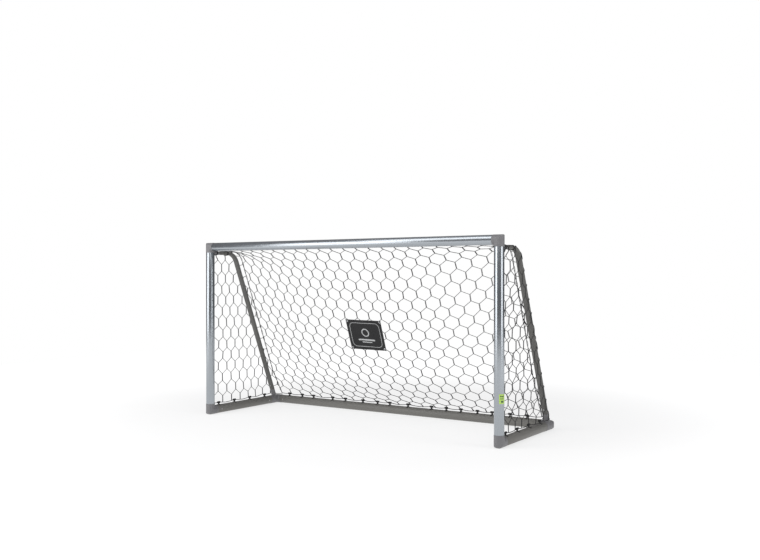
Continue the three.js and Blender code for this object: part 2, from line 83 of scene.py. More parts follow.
# %% Support sizes
OVAL_WIDTH, OVAL_THICKNESS = 0.051, 0.0295
SUPPORT_CORNER_Y, SUPPORT_FOOT_Y = -0.159, 0.4345
SUPPORT_BEND = 0.122
support_low, support_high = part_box("right_support_tube")
arm_z = support_high.z - OVAL_THICKNESS / 2
slope = math.atan2(SUPPORT_FOOT_Y - SUPPORT_CORNER_Y, arm_z - base_z)
up_slope = Vector((0, -math.sin(slope), math.cos(slope)))
off_slope = Vector((0, math.cos(slope), math.sin(slope)))
turn = math.pi / 2 - slope
bend_y = SUPPORT_CORNER_Y - SUPPORT_BEND * math.tan(turn / 2)
bend_z = arm_z - SUPPORT_BEND
print("slope", round(math.degrees(slope), 2), "degrees off the vertical, arm at", round(arm_z, 4))

# %% [markdown]
# ## Modelling helpers
#
# Operators act on whatever is selected, so each step starts from nothing selected. `place` writes a piece's
# place into its mesh, and `hand_over` gives it its body to ride on and smooths its shading by angle.

# %% Helpers for selecting and placing
def deselect():
    if bpy.context.object and bpy.context.object.mode != "OBJECT":
        bpy.ops.object.mode_set(mode="OBJECT")
    bpy.ops.object.select_all(action="DESELECT")


def only(*objects):
    deselect()
    for one in objects:
        one.select_set(True)
    bpy.context.view_layer.objects.active = objects[0]


def place(piece, origin, x_axis, z_axis):
    """Turns a piece made round the origin so that its x and z lie along the given directions."""
    y_axis = z_axis.cross(x_axis)
    turned = Matrix((x_axis, y_axis, z_axis)).transposed().to_4x4()
    piece.matrix_world = Matrix.Translation(origin) @ turned
    only(piece)
    bpy.ops.object.transform_apply(location=True, rotation=True, scale=True)
    return piece


def modify(piece, kind, **settings):
    only(piece)
    modifier = piece.modifiers.new(kind.title(), kind)
    for key, value in settings.items():
        setattr(modifier, key, value)
    bpy.ops.object.modifier_apply(modifier=modifier.name)
    return piece


def join(name, *pieces):
    only(*pieces)
    bpy.ops.object.join()
    pieces[0].name = name
    return pieces[0]


# %% Helpers for edit mode
def pick(piece, test, what="VERT"):
    """Enters edit mode with the vertices, edges or faces selected whose middle passes the test."""
    only(piece)
    bpy.ops.object.mode_set(mode="EDIT")
    bpy.ops.mesh.select_mode(type=what)
    bpy.ops.mesh.select_all(action="DESELECT")
    bpy.ops.object.mode_set(mode="OBJECT")
    mesh = piece.data
    count = 0
    items = {"VERT": mesh.vertices, "EDGE": mesh.edges, "FACE": mesh.polygons}[what]
    for item in items:
        if what == "VERT":
            centre = item.co
        elif what == "EDGE":
            centre = (mesh.vertices[item.vertices[0]].co + mesh.vertices[item.vertices[1]].co) / 2
        else:
            centre = item.center
        item.select = bool(test(centre))
        count += item.select
    bpy.ops.object.mode_set(mode="EDIT")
    return count


def outward(piece):
    """Makes the faces of a closed piece point out, whichever way they were left."""
    only(piece)
    bpy.ops.object.mode_set(mode="EDIT")
    bpy.ops.mesh.select_all(action="SELECT")
    bpy.ops.mesh.remove_doubles(threshold=1e-6)
    bpy.ops.mesh.normals_make_consistent(inside=False)
    bpy.ops.object.mode_set(mode="OBJECT")
    return piece


def cut_plane(piece, point, normal):
    """Cuts away what lies on the normal's side of a plane, and closes the cut."""
    only(piece)
    bpy.ops.object.mode_set(mode="EDIT")
    bpy.ops.mesh.select_all(action="SELECT")
    bpy.ops.mesh.bisect(plane_co=point, plane_no=normal, use_fill=True, clear_outer=True)
    bpy.ops.object.mode_set(mode="OBJECT")
    return piece


def triangles(piece):
    return sum(len(face.vertices) - 2 for face in piece.data.polygons)


# %% Helpers for copies and for handing over
def copy_of(piece, name):
    twin = piece.copy()
    twin.data = piece.data.copy()
    twin.name = name
    bpy.context.scene.collection.objects.link(twin)
    return twin


def mirrored(piece, name):
    """The same piece on the other side of the goal, with its faces pointing out again."""
    twin = copy_of(piece, name)
    twin.data.transform(Matrix.Diagonal((-1, 1, 1, 1)))
    twin.data.flip_normals()
    return twin


def hand_over(piece, slot, replaced=(), body="goal", angle=35):
    only(piece)
    if piece.type == "MESH":
        bpy.ops.object.shade_smooth_by_angle(angle=math.radians(angle))
    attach(piece, body)
    if replaced:
        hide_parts(*replaced)
    piece.data.name = piece.name
    return piece


# %% [markdown]
# ## Camera, light and floor
#
# The goal stands on a white studio floor between two tall soft boxes, which give the posts their two bright
# lines and the crossbar its bright band, with a third one overhead. The sky is a plain gradient that stays
# dim, because a polished tube needs something dark to reflect beside each bright line to look round.

# %% Camera
CAMERA_PLACE = Vector((4.204, -6.260, 1.246))
CAMERA_YAW, CAMERA_PITCH = 33.277, -0.171
FOCAL_LENGTH = 41.29

camera_data = bpy.data.cameras.new("camera")
camera_data.lens = FOCAL_LENGTH
camera_data.sensor_width = 36
camera_data.clip_end = 200
camera = bpy.data.objects.new("camera", camera_data)
camera.location = CAMERA_PLACE
camera.rotation_euler = (math.radians(90 + CAMERA_PITCH), 0, math.radians(CAMERA_YAW))
bpy.context.scene.collection.objects.link(camera)
bpy.context.scene.camera = camera
bpy.context.scene.view_settings.view_transform = "Standard"
print("camera", [round(v, 3) for v in camera.location])


# %% Soft boxes
def soft_box(name, place_at, aim, width, height, power):
    data = bpy.data.lights.new(name, "AREA")
    data.shape = "RECTANGLE"
    data.size, data.size_y = width, height
    data.energy = power
    lamp = bpy.data.objects.new(name, data)
    lamp.location = place_at
    lamp.rotation_euler = (Vector(aim) - Vector(place_at)).to_track_quat("-Z", "Y").to_euler()
    bpy.context.scene.collection.objects.link(lamp)


soft_box("overhead_box", (0.6, -3.2, 5.0), (0, 0, 0.5), 6.0, 3.0, 120)
soft_box("left_wall", (-3.7, -5.7, 2.8), (0, -0.4, 1.6), 4.8, 5.2, 230)
soft_box("right_wall", (6.4, -0.4, 2.8), (0.6, -0.4, 1.6), 2.4, 5.2, 110)
print("three soft boxes")

# %% [markdown]
# ## Finishes as Python sums
#
# A finish is a node tree, and a node tree is mostly arithmetic. The small class below wraps a socket, so that
# `1 - mask` or `grain * 0.1 + 0.3` adds the Math nodes by itself, and the finish reads like the sum it is.

# %% A socket that can be used in sums
class Value:
    def __init__(self, finish, socket):
        self.finish = finish
        self.socket = socket

    def sum(self, operation, first, second=None):
        values = {i: v for i, v in enumerate((first, second)) if v is not None}
        return self.finish.node("ShaderNodeMath", {"operation": operation}, values)

    def __add__(self, other):
        return self.sum("ADD", self, other)

    def __sub__(self, other):
        return self.sum("SUBTRACT", self, other)

    def __mul__(self, other):
        return self.sum("MULTIPLY", self, other)

    def __rsub__(self, other):
        return self.sum("SUBTRACT", other, self)

    __radd__ = __add__
    __rmul__ = __mul__

    def size(self):
        return self.sum("ABSOLUTE", self)

    def floor_at(self, low):
        return self.sum("MAXIMUM", self, low)

    def root(self):
        return self.sum("SQRT", self)

    def step(self, low, high):
        """0 below low, 1 above high, and a smooth ramp between."""
        return self.finish.node(
            "ShaderNodeMapRange",
            {"interpolation_type": "SMOOTHSTEP"},
            {"Value": self, "From Min": low, "From Max": high},
        )


# %% A finish: a material with one shader and the nodes that feed it
class Finish:
    def __init__(self, name, **fixed):
        self.material = bpy.data.materials.new(name)
        self.material.use_nodes = True
        self.tree = self.material.node_tree
        self.shader = self.tree.nodes["Principled BSDF"]
        for socket, value in fixed.items():
            self.shader.inputs[socket.replace("_", " ").title().replace("Ior", "IOR")].default_value = value

    def node(self, kind, settings=None, values=None, out=0):
        made = self.tree.nodes.new(kind)
        for key, value in (settings or {}).items():
            setattr(made, key, value)
        for key, value in (values or {}).items():
            if isinstance(value, Value):
                self.tree.links.new(value.socket, made.inputs[key])
            else:
                made.inputs[key].default_value = value
        return Value(self, made.outputs[out])

    def feed(self, socket, value):
        self.tree.links.new(value.socket, self.shader.inputs[socket])

    def place(self, scale=(1, 1, 1), centre=(0, 0, 0)):
        source = self.node("ShaderNodeTexCoord", out="Object")
        return self.node("ShaderNodeMapping", values={"Vector": source, "Location": centre, "Scale": scale})

    def noise(self, scale, where, detail=3.0, roughness=0.5):
        return self.node(
            "ShaderNodeTexNoise",
            values={"Vector": where, "Scale": scale, "Detail": detail, "Roughness": roughness},
        )

    def colour_between(self, mask, low, high):
        """The colour low where the mask is 0 and high where it is 1."""
        return self.node(
            "ShaderNodeMix",
            {"data_type": "RGBA"},
            {0: mask, 6: (*low, 1) if not isinstance(low, Value) else low,
             7: (*high, 1) if not isinstance(high, Value) else high},
            out=2,
        )

    def bump(self, height, strength, distance):
        relief = self.node(
            "ShaderNodeBump", values={"Height": height, "Strength": strength, "Distance": distance}
        )
        self.feed("Normal", relief)


def paint(piece, finish):
    piece.data.materials.clear()
    piece.data.materials.append(finish.material)


# %% Floor
FLOOR_SIZE, FLOOR_DROP = 14, 0.0002
GLOW_NEAR, GLOW_FAR = (0.67, 0.67, 0.67), (0.88, 0.88, 0.88)
GLOW_RISES = (1.6, 4.5)

deselect()
bpy.ops.mesh.primitive_plane_add(size=FLOOR_SIZE, location=(0, 0, -FLOOR_DROP))
floor = bpy.context.object
floor.name = "floor"
floor_finish = Finish("studio_floor", base_color=(0.36, 0.36, 0.36, 1), roughness=0.9, specular_ior_level=0.0)
from_middle = floor_finish.node(
    "ShaderNodeVectorMath", {"operation": "LENGTH"}, {0: floor_finish.place()}, out=1
)
floor_finish.shader.inputs["Emission Strength"].default_value = 1.0
far_off = from_middle.step(*GLOW_RISES)
floor_finish.feed("Emission Color", floor_finish.colour_between(far_off, GLOW_NEAR, GLOW_FAR))
paint(floor, floor_finish)
print("floor", FLOOR_SIZE, "m wide")

# %% Sky: white to look at, and a graded room in the light
SKY_BANDS = ((0.0, 0.62), (0.44, 0.50), (0.50, 0.16), (0.60, 0.20), (0.80, 0.30), (1.0, 0.40))

world = bpy.data.worlds.new("studio_sky")
bpy.context.scene.world = world
world.use_nodes = True
sky = world.node_tree
backdrop = sky.nodes["Background"]
backdrop.inputs["Color"].default_value = (1, 1, 1, 1)
glow = sky.nodes.new("ShaderNodeBackground")
way = sky.nodes.new("ShaderNodeTexCoord")
apart = sky.nodes.new("ShaderNodeSeparateXYZ")
rise = sky.nodes.new("ShaderNodeMapRange")
rise.inputs["From Min"].default_value = -1.0
bands = sky.nodes.new("ShaderNodeValToRGB")
bands.color_ramp.elements.remove(bands.color_ramp.elements[0])
for position, light in SKY_BANDS:
    stop = bands.color_ramp.elements.new(position) if position < 1 else bands.color_ramp.elements[-1]
    stop.color = (light, light, light * 1.03, 1)
seen = sky.nodes.new("ShaderNodeLightPath")
either = sky.nodes.new("ShaderNodeMixShader")
sky.links.new(way.outputs["Generated"], apart.inputs[0])
sky.links.new(apart.outputs["Z"], rise.inputs["Value"])
sky.links.new(rise.outputs["Result"], bands.inputs["Fac"])
sky.links.new(bands.outputs["Color"], glow.inputs["Color"])
sky.links.new(seen.outputs["Is Camera Ray"], either.inputs["Fac"])
sky.links.new(glow.outputs[0], either.inputs[1])
sky.links.new(backdrop.outputs[0], either.inputs[2])
sky.links.new(either.outputs[0], sky.nodes["World Output"].inputs["Surface"])
print("sky bands", len(bands.color_ramp.elements))

# %% [markdown]
# ## The finishes of the goal
#
# Satin anodised aluminium is metal with fine lengthwise lines from the extrusion die. The lines are noise that
# is squeezed across the tube and stretched along it, and they turn with the tube's own direction.

# %% Anodised aluminium
def anodised(name, stretch):
    finish = Finish(name, metallic=1.0)
    lines = finish.noise(420, finish.place(stretch), detail=2)
    cloud = finish.noise(2.5, finish.place(), detail=3)
    tone = lines * 0.5 + cloud * 0.5
    finish.feed("Base Color", finish.colour_between(tone, (0.36, 0.385, 0.41), (0.42, 0.45, 0.48)))
    finish.feed("Roughness", lines * 0.05 + cloud * 0.05 + 0.21)
    finish.bump(lines, 0.03, 0.0001)
    return finish


ALONG_Z, ALONG_X = (1, 1, 0.01), (0.01, 1, 1)
upright_finish = anodised("anodised_upright", ALONG_Z)
level_finish = anodised("anodised_level", ALONG_X)

# %% [markdown]
# The ground tubes and supports have a warm grey powder coat. It is fired on as a powder, which leaves a soft
# orange-peel skin, and its tone varies a little in soft clouds.

# %% Powder coat and moulded plastic
def powder_coat(name, low, high):
    finish = Finish(name, specular_ior_level=0.4)
    peel = finish.noise(620, finish.place(), detail=2)
    cloud = finish.noise(3, finish.place(), detail=4)
    finish.feed("Base Color", finish.colour_between(cloud * 0.8 + peel * 0.2, low, high))
    finish.feed("Roughness", cloud * 0.14 + 0.44)
    finish.bump(peel, 0.25, 0.0003)
    return finish


def moulded(name, low, high, roughness=0.5):
    finish = Finish(name, specular_ior_level=0.4)
    grain = finish.noise(1400, finish.place(), detail=2)
    cloud = finish.noise(9, finish.place(), detail=3)
    finish.feed("Base Color", finish.colour_between(cloud, low, high))
    finish.feed("Roughness", grain * 0.12 + roughness - 0.06)
    finish.bump(grain, 0.2, 0.0002)
    return finish


base_finish = powder_coat("powder_coat_ground", (0.150, 0.146, 0.136), (0.185, 0.180, 0.168))
support_finish = powder_coat("powder_coat_support", (0.100, 0.099, 0.094), (0.130, 0.128, 0.122))
corner_finish = moulded("corner_nylon", (0.165, 0.163, 0.170), (0.200, 0.198, 0.206))
clip_finish = moulded("clip_nylon", (0.012, 0.012, 0.012), (0.028, 0.028, 0.028), 0.42)


# %% [markdown]
# The net's twine is black polyethylene. It is braided, so its surface has a tiny chevron relief, and dust and
# sun make it a little paler in places.

# %% Twine and spring steel
def twine():
    finish = Finish("net_twine", roughness=0.75)
    braid = finish.noise(1800, finish.place((1, 1, 0.45)), detail=1)
    faded = finish.noise(5, finish.place(), detail=3)
    finish.feed("Base Color", finish.colour_between(faded, (0.010, 0.010, 0.011), (0.030, 0.030, 0.032)))
    finish.bump(braid, 0.5, 0.0004)
    return finish


def steel():
    finish = Finish("zinc_plated_steel", metallic=1.0)
    scuff = finish.noise(300, finish.place((1, 1, 0.2)), detail=3)
    finish.feed("Base Color", finish.colour_between(scuff, (0.52, 0.53, 0.55), (0.68, 0.69, 0.70)))
    finish.feed("Roughness", scuff * 0.2 + 0.25)
    return finish


twine_finish = twine()
steel_finish = steel()
print("finishes:", len(bpy.data.materials))

# %% [markdown]
# ## Round tubes
#
# Posts, crossbar, ground tubes and the rear bar are cut lengths of extruded tube, with open ends that slide
# over the corners' spigots. Each could be a curve with a bevel, but a real tube has a wall, so it starts as a
# cylinder without caps, gets its wall from Solidify, and loses the sharp edge of its cut ends to a Bevel.

# %% A cut length of round tube
ROUND_SIDES = 72


def round_tube(name, start, direction, length):
    deselect()
    bpy.ops.mesh.primitive_cylinder_add(
        vertices=ROUND_SIDES, radius=tube_radius, depth=length, end_fill_type="NOTHING",
        location=(0, 0, length / 2),
    )
    tube = bpy.context.object
    tube.name = name
    modify(tube, "SOLIDIFY", thickness=TUBE_WALL, offset=-1.0)
    bpy.ops.object.transform_apply(location=True, rotation=True, scale=True)
    pick(tube, lambda p: p.z < 1e-5 or p.z > length - 1e-5, "EDGE")
    bpy.ops.mesh.bevel(offset=0.0004, segments=2)
    bpy.ops.object.mode_set(mode="OBJECT")
    side = X if abs(direction.x) < 0.5 else Y
    return place(tube, start, side, direction)


# %% [markdown]
# The support's oval arm passes close behind each post's top, and the snap buttons come out through small
# holes. Both are cut with a Boolean, which is how a shop would mill them.

# %% Buttons in the frame
STUD_RADIUS, STUD_PROUD = 0.0045, 0.003
HOLE_PLAY = 0.0003
LEAF_WIDTH, LEAF_THICKNESS, LEAF_LENGTH, LEAF_OVERHANG = 0.010, 0.0012, 0.046, 0.007

buttons = {}
for joint in frame["joints"]:
    node = joint["name"].replace("press_", "snap_button_")
    buttons[node] = {"out": -Vector(joint["axis"]).normalized(), "body": joint["child"]}
print(len(buttons), "snap buttons, pressed", joint["range_m"][1], "m to let go")


# %% Where each stud is
def arm_of(node):
    """The direction away from the corner, and the axis point of the tube over that spigot."""
    side = -1 if "left" in node else 1
    inward = Vector((-side, 0, 0))
    top = Vector((side * post_x, front_y, bar_z))
    front = Vector((side * post_x, front_y, base_z))
    rear = Vector((side * post_x, rear_y, base_z))
    place_name = node.split("_", 3)[3]
    return {
        "top_crossbar": (top, inward), "top_post": (top, -Z), "front_post": (front, Z),
        "front_base": (front, Y), "rear_base": (rear, -Y), "rear_bar": (rear, inward),
        "top_support": (Vector((side * post_x, front_y, arm_z)), Y),
        "rear_support": (Vector((side * post_x, SUPPORT_FOOT_Y, base_z)), up_slope),
    }[place_name]


BUTTON_INSET, FOOT_ARM_REACH = 0.042, 0.110
ROUND_LEAF_TOP, OVAL_LEAF_TOP = 0.029794, 0.00905

for node, button in buttons.items():
    axis_point, away = arm_of(node)
    low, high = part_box(node)
    tip = max((low - axis_point).dot(away), (high - axis_point).dot(away))
    if "rear_support" in node:
        tip = FOOT_ARM_REACH + BUTTON_INSET + LEAF_OVERHANG
    oval = "support" in node
    button["seat"] = axis_point + away * (tip - LEAF_OVERHANG)
    button["away"] = away
    button["skin"] = OVAL_THICKNESS / 2 if oval else tube_radius
print("first stud stands", [round(v, 3) for v in buttons["snap_button_left_top_crossbar"]["seat"]])


# %% Cutting with another shape
def cut_with(piece, *cutters):
    for cutter in cutters:
        modify(piece, "BOOLEAN", operation="DIFFERENCE", solver="EXACT", object=cutter)
        bpy.data.objects.remove(cutter)
    return piece


def stud_drill(node):
    """A drill through the walls over one button."""
    button = buttons[node]
    deselect()
    bpy.ops.mesh.primitive_cylinder_add(vertices=28, radius=STUD_RADIUS + HOLE_PLAY, depth=0.016)
    on_skin = button["seat"] + button["out"] * button["skin"]
    return place(bpy.context.object, on_skin, button["away"], button["out"])


def drilled(piece, *nodes):
    return cut_with(piece, *[stud_drill(node) for node in nodes])


# %% An oval outline, and a solid bar of it
OVAL_SIDES = 48


def oval_outline(grow=0.0, fill="NOTHING"):
    """A flat oval round the origin, wide along X and thin along Y."""
    deselect()
    bpy.ops.mesh.primitive_circle_add(
        vertices=OVAL_SIDES, radius=OVAL_THICKNESS / 2 + grow, fill_type=fill,
        rotation=(0, 0, math.pi / OVAL_SIDES),
    )
    outline = bpy.context.object
    bpy.ops.object.transform_apply(location=False, rotation=True, scale=False)
    shift = (OVAL_WIDTH - OVAL_THICKNESS) / 2
    for sign in (-1, 1):
        pick(outline, lambda p: p.x * sign > 0)
        bpy.ops.transform.translate(value=(sign * shift, 0, 0))
        bpy.ops.object.mode_set(mode="OBJECT")
    return outline


def oval_bar(start, direction, length, grow=0.0):
    bar = oval_outline(grow, "NGON")
    pick(bar, lambda p: True, "FACE")
    bpy.ops.mesh.extrude_region_move(TRANSFORM_OT_translate={"value": (0, 0, length)})
    bpy.ops.object.mode_set(mode="OBJECT")
    outward(bar)
    return place(bar, start, X, direction)


# %% Posts
for name, sign in SIDES:
    low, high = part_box(f"{name}_post")
    foot = Vector((sign * post_x, front_y, low.z))
    post = round_tube(f"post_{name}", foot, Z, high.z - low.z)
    arm_start = Vector((sign * post_x, front_y, arm_z))
    cut_with(post, oval_bar(arm_start, Y, tube_radius + 0.004, grow=0.0004))
    drilled(post, f"snap_button_{name}_top_post", f"snap_button_{name}_front_post")
    paint(post, upright_finish)
    hand_over(post, "anodised_aluminium", [f"{name}_post"])
    print(post.name, triangles(post), "triangles")

# %% Crossbar and rear bar
for node, name, finish, slot, stud in (
    ("crossbar", "crossbar_tube", level_finish, "anodised_aluminium", "top_crossbar"),
    ("rear_base_bar", "rear_bar", base_finish, "powder_coat", "rear_bar"),
):
    low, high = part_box(node)
    centre = middle(node)
    bar = round_tube(name, Vector((low.x, centre.y, centre.z)), X, high.x - low.x)
    drilled(bar, f"snap_button_left_{stud}", f"snap_button_right_{stud}")
    paint(bar, finish)
    hand_over(bar, slot, [node])
    print(name, round(high.x - low.x, 3), "m long")

# %% Ground tubes
for name, sign in SIDES:
    low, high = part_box(f"{name}_base_tube")
    base = round_tube(f"ground_tube_{name}", Vector((sign * post_x, low.y, base_z)), Y, high.y - low.y)
    drilled(base, f"snap_button_{name}_front_base", f"snap_button_{name}_rear_base")
    paint(base, base_finish)
    hand_over(base, "powder_coat", [f"{name}_base_tube"])

# %% [markdown]
# ## Oval supports
#
# Each support is one oval tube: level behind the post, then bent, then straight down to its foot. The outline
# is extruded along the level arm, spun round the bend's centre as a tube bender does it, and extruded again.

# %% Supports
BEND_STEPS = 16
bend_end = Vector((0, bend_y + SUPPORT_BEND * math.sin(turn), bend_z + SUPPORT_BEND * math.cos(turn)))
foot_end = Vector((0, SUPPORT_FOOT_Y, base_z)) + up_slope * (FOOT_ARM_REACH + SEAM)

support = oval_outline()
support.name = "support_left"
place(support, Vector((-post_x, support_low.y, arm_z)), X, Y)
pick(support, lambda p: True)
bpy.ops.mesh.extrude_region_move(TRANSFORM_OT_translate={"value": (0, bend_y - support_low.y, 0)})
bpy.ops.mesh.spin(steps=BEND_STEPS, angle=turn, center=(-post_x, bend_y, bend_z), axis=(1, 0, 0))
bpy.ops.mesh.extrude_region_move(TRANSFORM_OT_translate={"value": foot_end - bend_end})
bpy.ops.object.mode_set(mode="OBJECT")
outward(support)
modify(support, "SOLIDIFY", thickness=TUBE_WALL, offset=-1.0, use_even_offset=True)
right_support = mirrored(support, "support_right")
for name, piece in (("left", support), ("right", right_support)):
    drilled(piece, f"snap_button_{name}_top_support", f"snap_button_{name}_rear_support")
    paint(piece, support_finish)
    hand_over(piece, "powder_coat", [f"{name}_support_tube"])
low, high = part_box("left_support_tube")
print("support ends", [round(v, 4) for v in support.bound_box[0]], "frame", [round(v, 4) for v in low])

# %% [markdown]
# ## Moulded corners
#
# A corner is two tubes' worth of plastic that meet in a mitre, with the outer corner rounded, and hollow
# spigots that plug into the tubes. The arms are cylinders cut on the mitre, the rounding is a bevelled box
# that both are cut back to, and a voxel remesh melts them into one moulding with soft creases.

# %% A round or oval spigot
SPIGOT_RADIUS, SPIGOT_WALL, SPIGOT_LENGTH, SPIGOT_ROOT = 0.0356, 0.0046, 0.080, 0.012
OVAL_PLAY, OVAL_SPIGOT_WALL, OVAL_SPIGOT_LENGTH = 0.0004, 0.003, 0.070


def round_spigot(start, direction):
    deselect()
    length = SPIGOT_ROOT + SPIGOT_LENGTH
    bpy.ops.mesh.primitive_cylinder_add(
        vertices=64, radius=SPIGOT_RADIUS, depth=length, end_fill_type="NOTHING",
        location=(0, 0, length / 2 - SPIGOT_ROOT),
    )
    spigot = bpy.context.object
    bpy.ops.object.transform_apply(location=True, rotation=True, scale=True)
    pick(spigot, lambda p: p.z > SPIGOT_LENGTH - 1e-5)
    bpy.ops.mesh.extrude_region_move(TRANSFORM_OT_translate={"value": (0, 0, 0.002)})
    bpy.ops.transform.resize(value=(0.97, 0.97, 1))
    bpy.ops.object.mode_set(mode="OBJECT")
    modify(spigot, "SOLIDIFY", thickness=SPIGOT_WALL, offset=-1.0)
    side = X if abs(direction.x) < 0.5 else Y
    return place(spigot, start, side, direction)


def oval_spigot(start, direction):
    spigot = oval_outline(-TUBE_WALL - OVAL_PLAY)
    pick(spigot, lambda p: True)
    length = SPIGOT_ROOT + OVAL_SPIGOT_LENGTH
    bpy.ops.mesh.extrude_region_move(TRANSFORM_OT_translate={"value": (0, 0, length)})
    bpy.ops.object.mode_set(mode="OBJECT")
    outward(spigot)
    modify(spigot, "SOLIDIFY", thickness=OVAL_SPIGOT_WALL, offset=-1.0)
    return place(spigot, start - direction * SPIGOT_ROOT, X, direction)


# %% One arm on its side of the mitre, and the rounded block it is cut back to
FITTING_RADIUS = 0.0394
CORNER_VOXEL = 0.0018


def mitred_arm(corner, direction, other, reach):
    deselect()
    back = 2 * FITTING_RADIUS
    bpy.ops.mesh.primitive_cylinder_add(
        vertices=96, radius=FITTING_RADIUS, depth=reach + back, location=(0, 0, (reach - back) / 2)
    )
    arm = bpy.context.object
    bpy.ops.object.transform_apply(location=True, rotation=True, scale=True)
    place(arm, corner, other, direction)
    return cut_plane(arm, corner, (other - direction).normalized())


def rounded_block(corner, first, second, rounding):
    deselect()
    size = 0.4
    bpy.ops.mesh.primitive_cube_add(size=size, location=(size / 2, size / 2, 0))
    block = bpy.context.object
    bpy.ops.object.transform_apply(location=True, rotation=True, scale=True)
    pick(block, lambda p: abs(p.x) < 1e-6 and abs(p.y) < 1e-6, "EDGE")
    bpy.ops.mesh.bevel(offset=rounding, segments=14)
    bpy.ops.object.mode_set(mode="OBJECT")
    outside = FITTING_RADIUS + 0.0001
    return place(block, corner - (first + second) * outside, first, first.cross(second))


# %% A whole corner
def moulded_corner(name, corner, arms, rounding, oval, studs):
    (first, first_reach), (second, second_reach) = arms
    body = join(
        name,
        mitred_arm(corner, first, second, first_reach),
        mitred_arm(corner, second, first, second_reach),
    )
    block = rounded_block(corner, first, second, rounding)
    modify(body, "BOOLEAN", operation="INTERSECT", solver="EXACT", object=block, use_self=True)
    bpy.data.objects.remove(block)
    spigots = [round_spigot(corner + way * reach, way) for way, reach in arms]
    if oval:
        oval_start, oval_way, oval_reach = oval
        body = join(name, body, oval_bar(oval_start, oval_way, oval_reach))
        spigots.append(oval_spigot(oval_start + oval_way * oval_reach, oval_way))
    modify(body, "REMESH", mode="VOXEL", voxel_size=CORNER_VOXEL)
    modify(body, "SMOOTH", factor=0.5, iterations=5)
    if corner.z < 0.1:
        cut_plane(body, Vector((0, 0, 0)), -Z)
    for spigot, stud in zip(spigots, studs):
        drilled(spigot, f"snap_button_left_{stud}")
    return join(name, body, *spigots)


# %% The six corners
INWARD = X.copy()
top_point = Vector((-post_x, front_y, bar_z))
front_point = Vector((-post_x, front_y, base_z))
rear_point = Vector((-post_x, rear_y, base_z))
bar_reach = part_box("crossbar")[0].x + post_x - SEAM
post_top_reach = bar_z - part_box("left_post")[1].z - SEAM
post_foot_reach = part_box("left_post")[0].z - base_z - SEAM
base_front_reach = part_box("left_base_tube")[0].y - front_y - SEAM
base_rear_reach = rear_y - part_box("left_base_tube")[1].y - SEAM
rear_bar_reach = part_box("rear_base_bar")[0].x + post_x - SEAM
top_arm_reach = support_low.y - front_y - SEAM
print("reaches across", round(bar_reach, 3), round(rear_bar_reach, 3), "up", round(post_top_reach, 3),
      round(post_foot_reach, 3), "back", round(base_front_reach, 3), round(base_rear_reach, 3))

CORNERS = {
    "top_corner": (
        top_point, ((INWARD, bar_reach), (-Z, post_top_reach)), 0.010,
        (Vector((-post_x, front_y, arm_z)), Y, top_arm_reach), ("top_crossbar", "top_post", "top_support"),
    ),
    "front_corner": (
        front_point, ((Z, post_foot_reach), (Y, base_front_reach)), 0.036, None, ("front_post", "front_base"),
    ),
    "rear_corner": (
        rear_point, ((-Y, base_rear_reach), (INWARD, rear_bar_reach)), 0.036,
        (Vector((-post_x, SUPPORT_FOOT_Y, base_z)), up_slope, FOOT_ARM_REACH),
        ("rear_base", "rear_bar", "rear_support"),
    ),
}
for node, (point, arms, rounding, oval, studs) in CORNERS.items():
    left = moulded_corner(f"{node}_moulding_left", point, arms, rounding, oval, studs)
    right = mirrored(left, f"{node}_moulding_right")
    for name, piece in (("left", left), ("right", right)):
        paint(piece, corner_finish)
        hand_over(piece, "corner_plastic", [f"{node}_{name}"], angle=50)
    print(node, triangles(left), "triangles")

# %% [markdown]
# ## Snap buttons
#
# A button is a domed stud on a springy leaf inside the spigot. It is modelled once for the round tubes and
# once for the oval ones, and each copy rides on its own body, so that it sinks in when it is pressed.

# %% A button
STUD_DOME = 0.0016
LEAF_BEND_SHARE = 0.55


def snap_button(height):
    deselect()
    bpy.ops.mesh.primitive_cylinder_add(
        vertices=28, radius=STUD_RADIUS, depth=height, location=(0, 0, height / 2)
    )
    stud = bpy.context.object
    bpy.ops.object.transform_apply(location=True, rotation=True, scale=True)
    pick(stud, lambda p: p.z > height - 1e-5, "EDGE")
    bpy.ops.mesh.bevel(offset=STUD_DOME, segments=5)
    bpy.ops.object.mode_set(mode="OBJECT")
    deselect()
    bpy.ops.mesh.primitive_cube_add(size=1, location=(LEAF_LENGTH / 2 - LEAF_OVERHANG, 0, -LEAF_THICKNESS / 2))
    leaf = bpy.context.object
    leaf.scale = (LEAF_LENGTH, LEAF_WIDTH, LEAF_THICKNESS)
    bpy.ops.object.transform_apply(location=True, rotation=True, scale=True)
    pick(leaf, lambda p: True, "FACE")
    bend_at = LEAF_LENGTH * LEAF_BEND_SHARE
    bpy.ops.mesh.bisect(plane_co=(bend_at, 0, 0), plane_no=(1, 0, 0))
    bpy.ops.object.mode_set(mode="OBJECT")
    pick(leaf, lambda p: p.x > bend_at + 0.001)
    bpy.ops.transform.translate(value=(0, 0, -2 * LEAF_THICKNESS))
    bpy.ops.object.mode_set(mode="OBJECT")
    modify(leaf, "BEVEL", width=0.0003, segments=2)
    return join("snap_button", stud, leaf)


for oval in (False, True):
    skin = OVAL_THICKNESS / 2 if oval else tube_radius
    leaf_top = OVAL_LEAF_TOP if oval else ROUND_LEAF_TOP
    pattern = snap_button(skin + STUD_PROUD - leaf_top)
    for node, button in buttons.items():
        if ("support" in node) == oval:
            copied = copy_of(pattern, node.replace("snap_button", "stud"))
            place(copied, button["seat"] + button["out"] * leaf_top, -button["away"], button["out"])
            paint(copied, steel_finish)
            hand_over(copied, "spring_steel", [node], button["body"], 50)
    bpy.data.objects.remove(pattern)
print(len(buttons), "snap buttons")

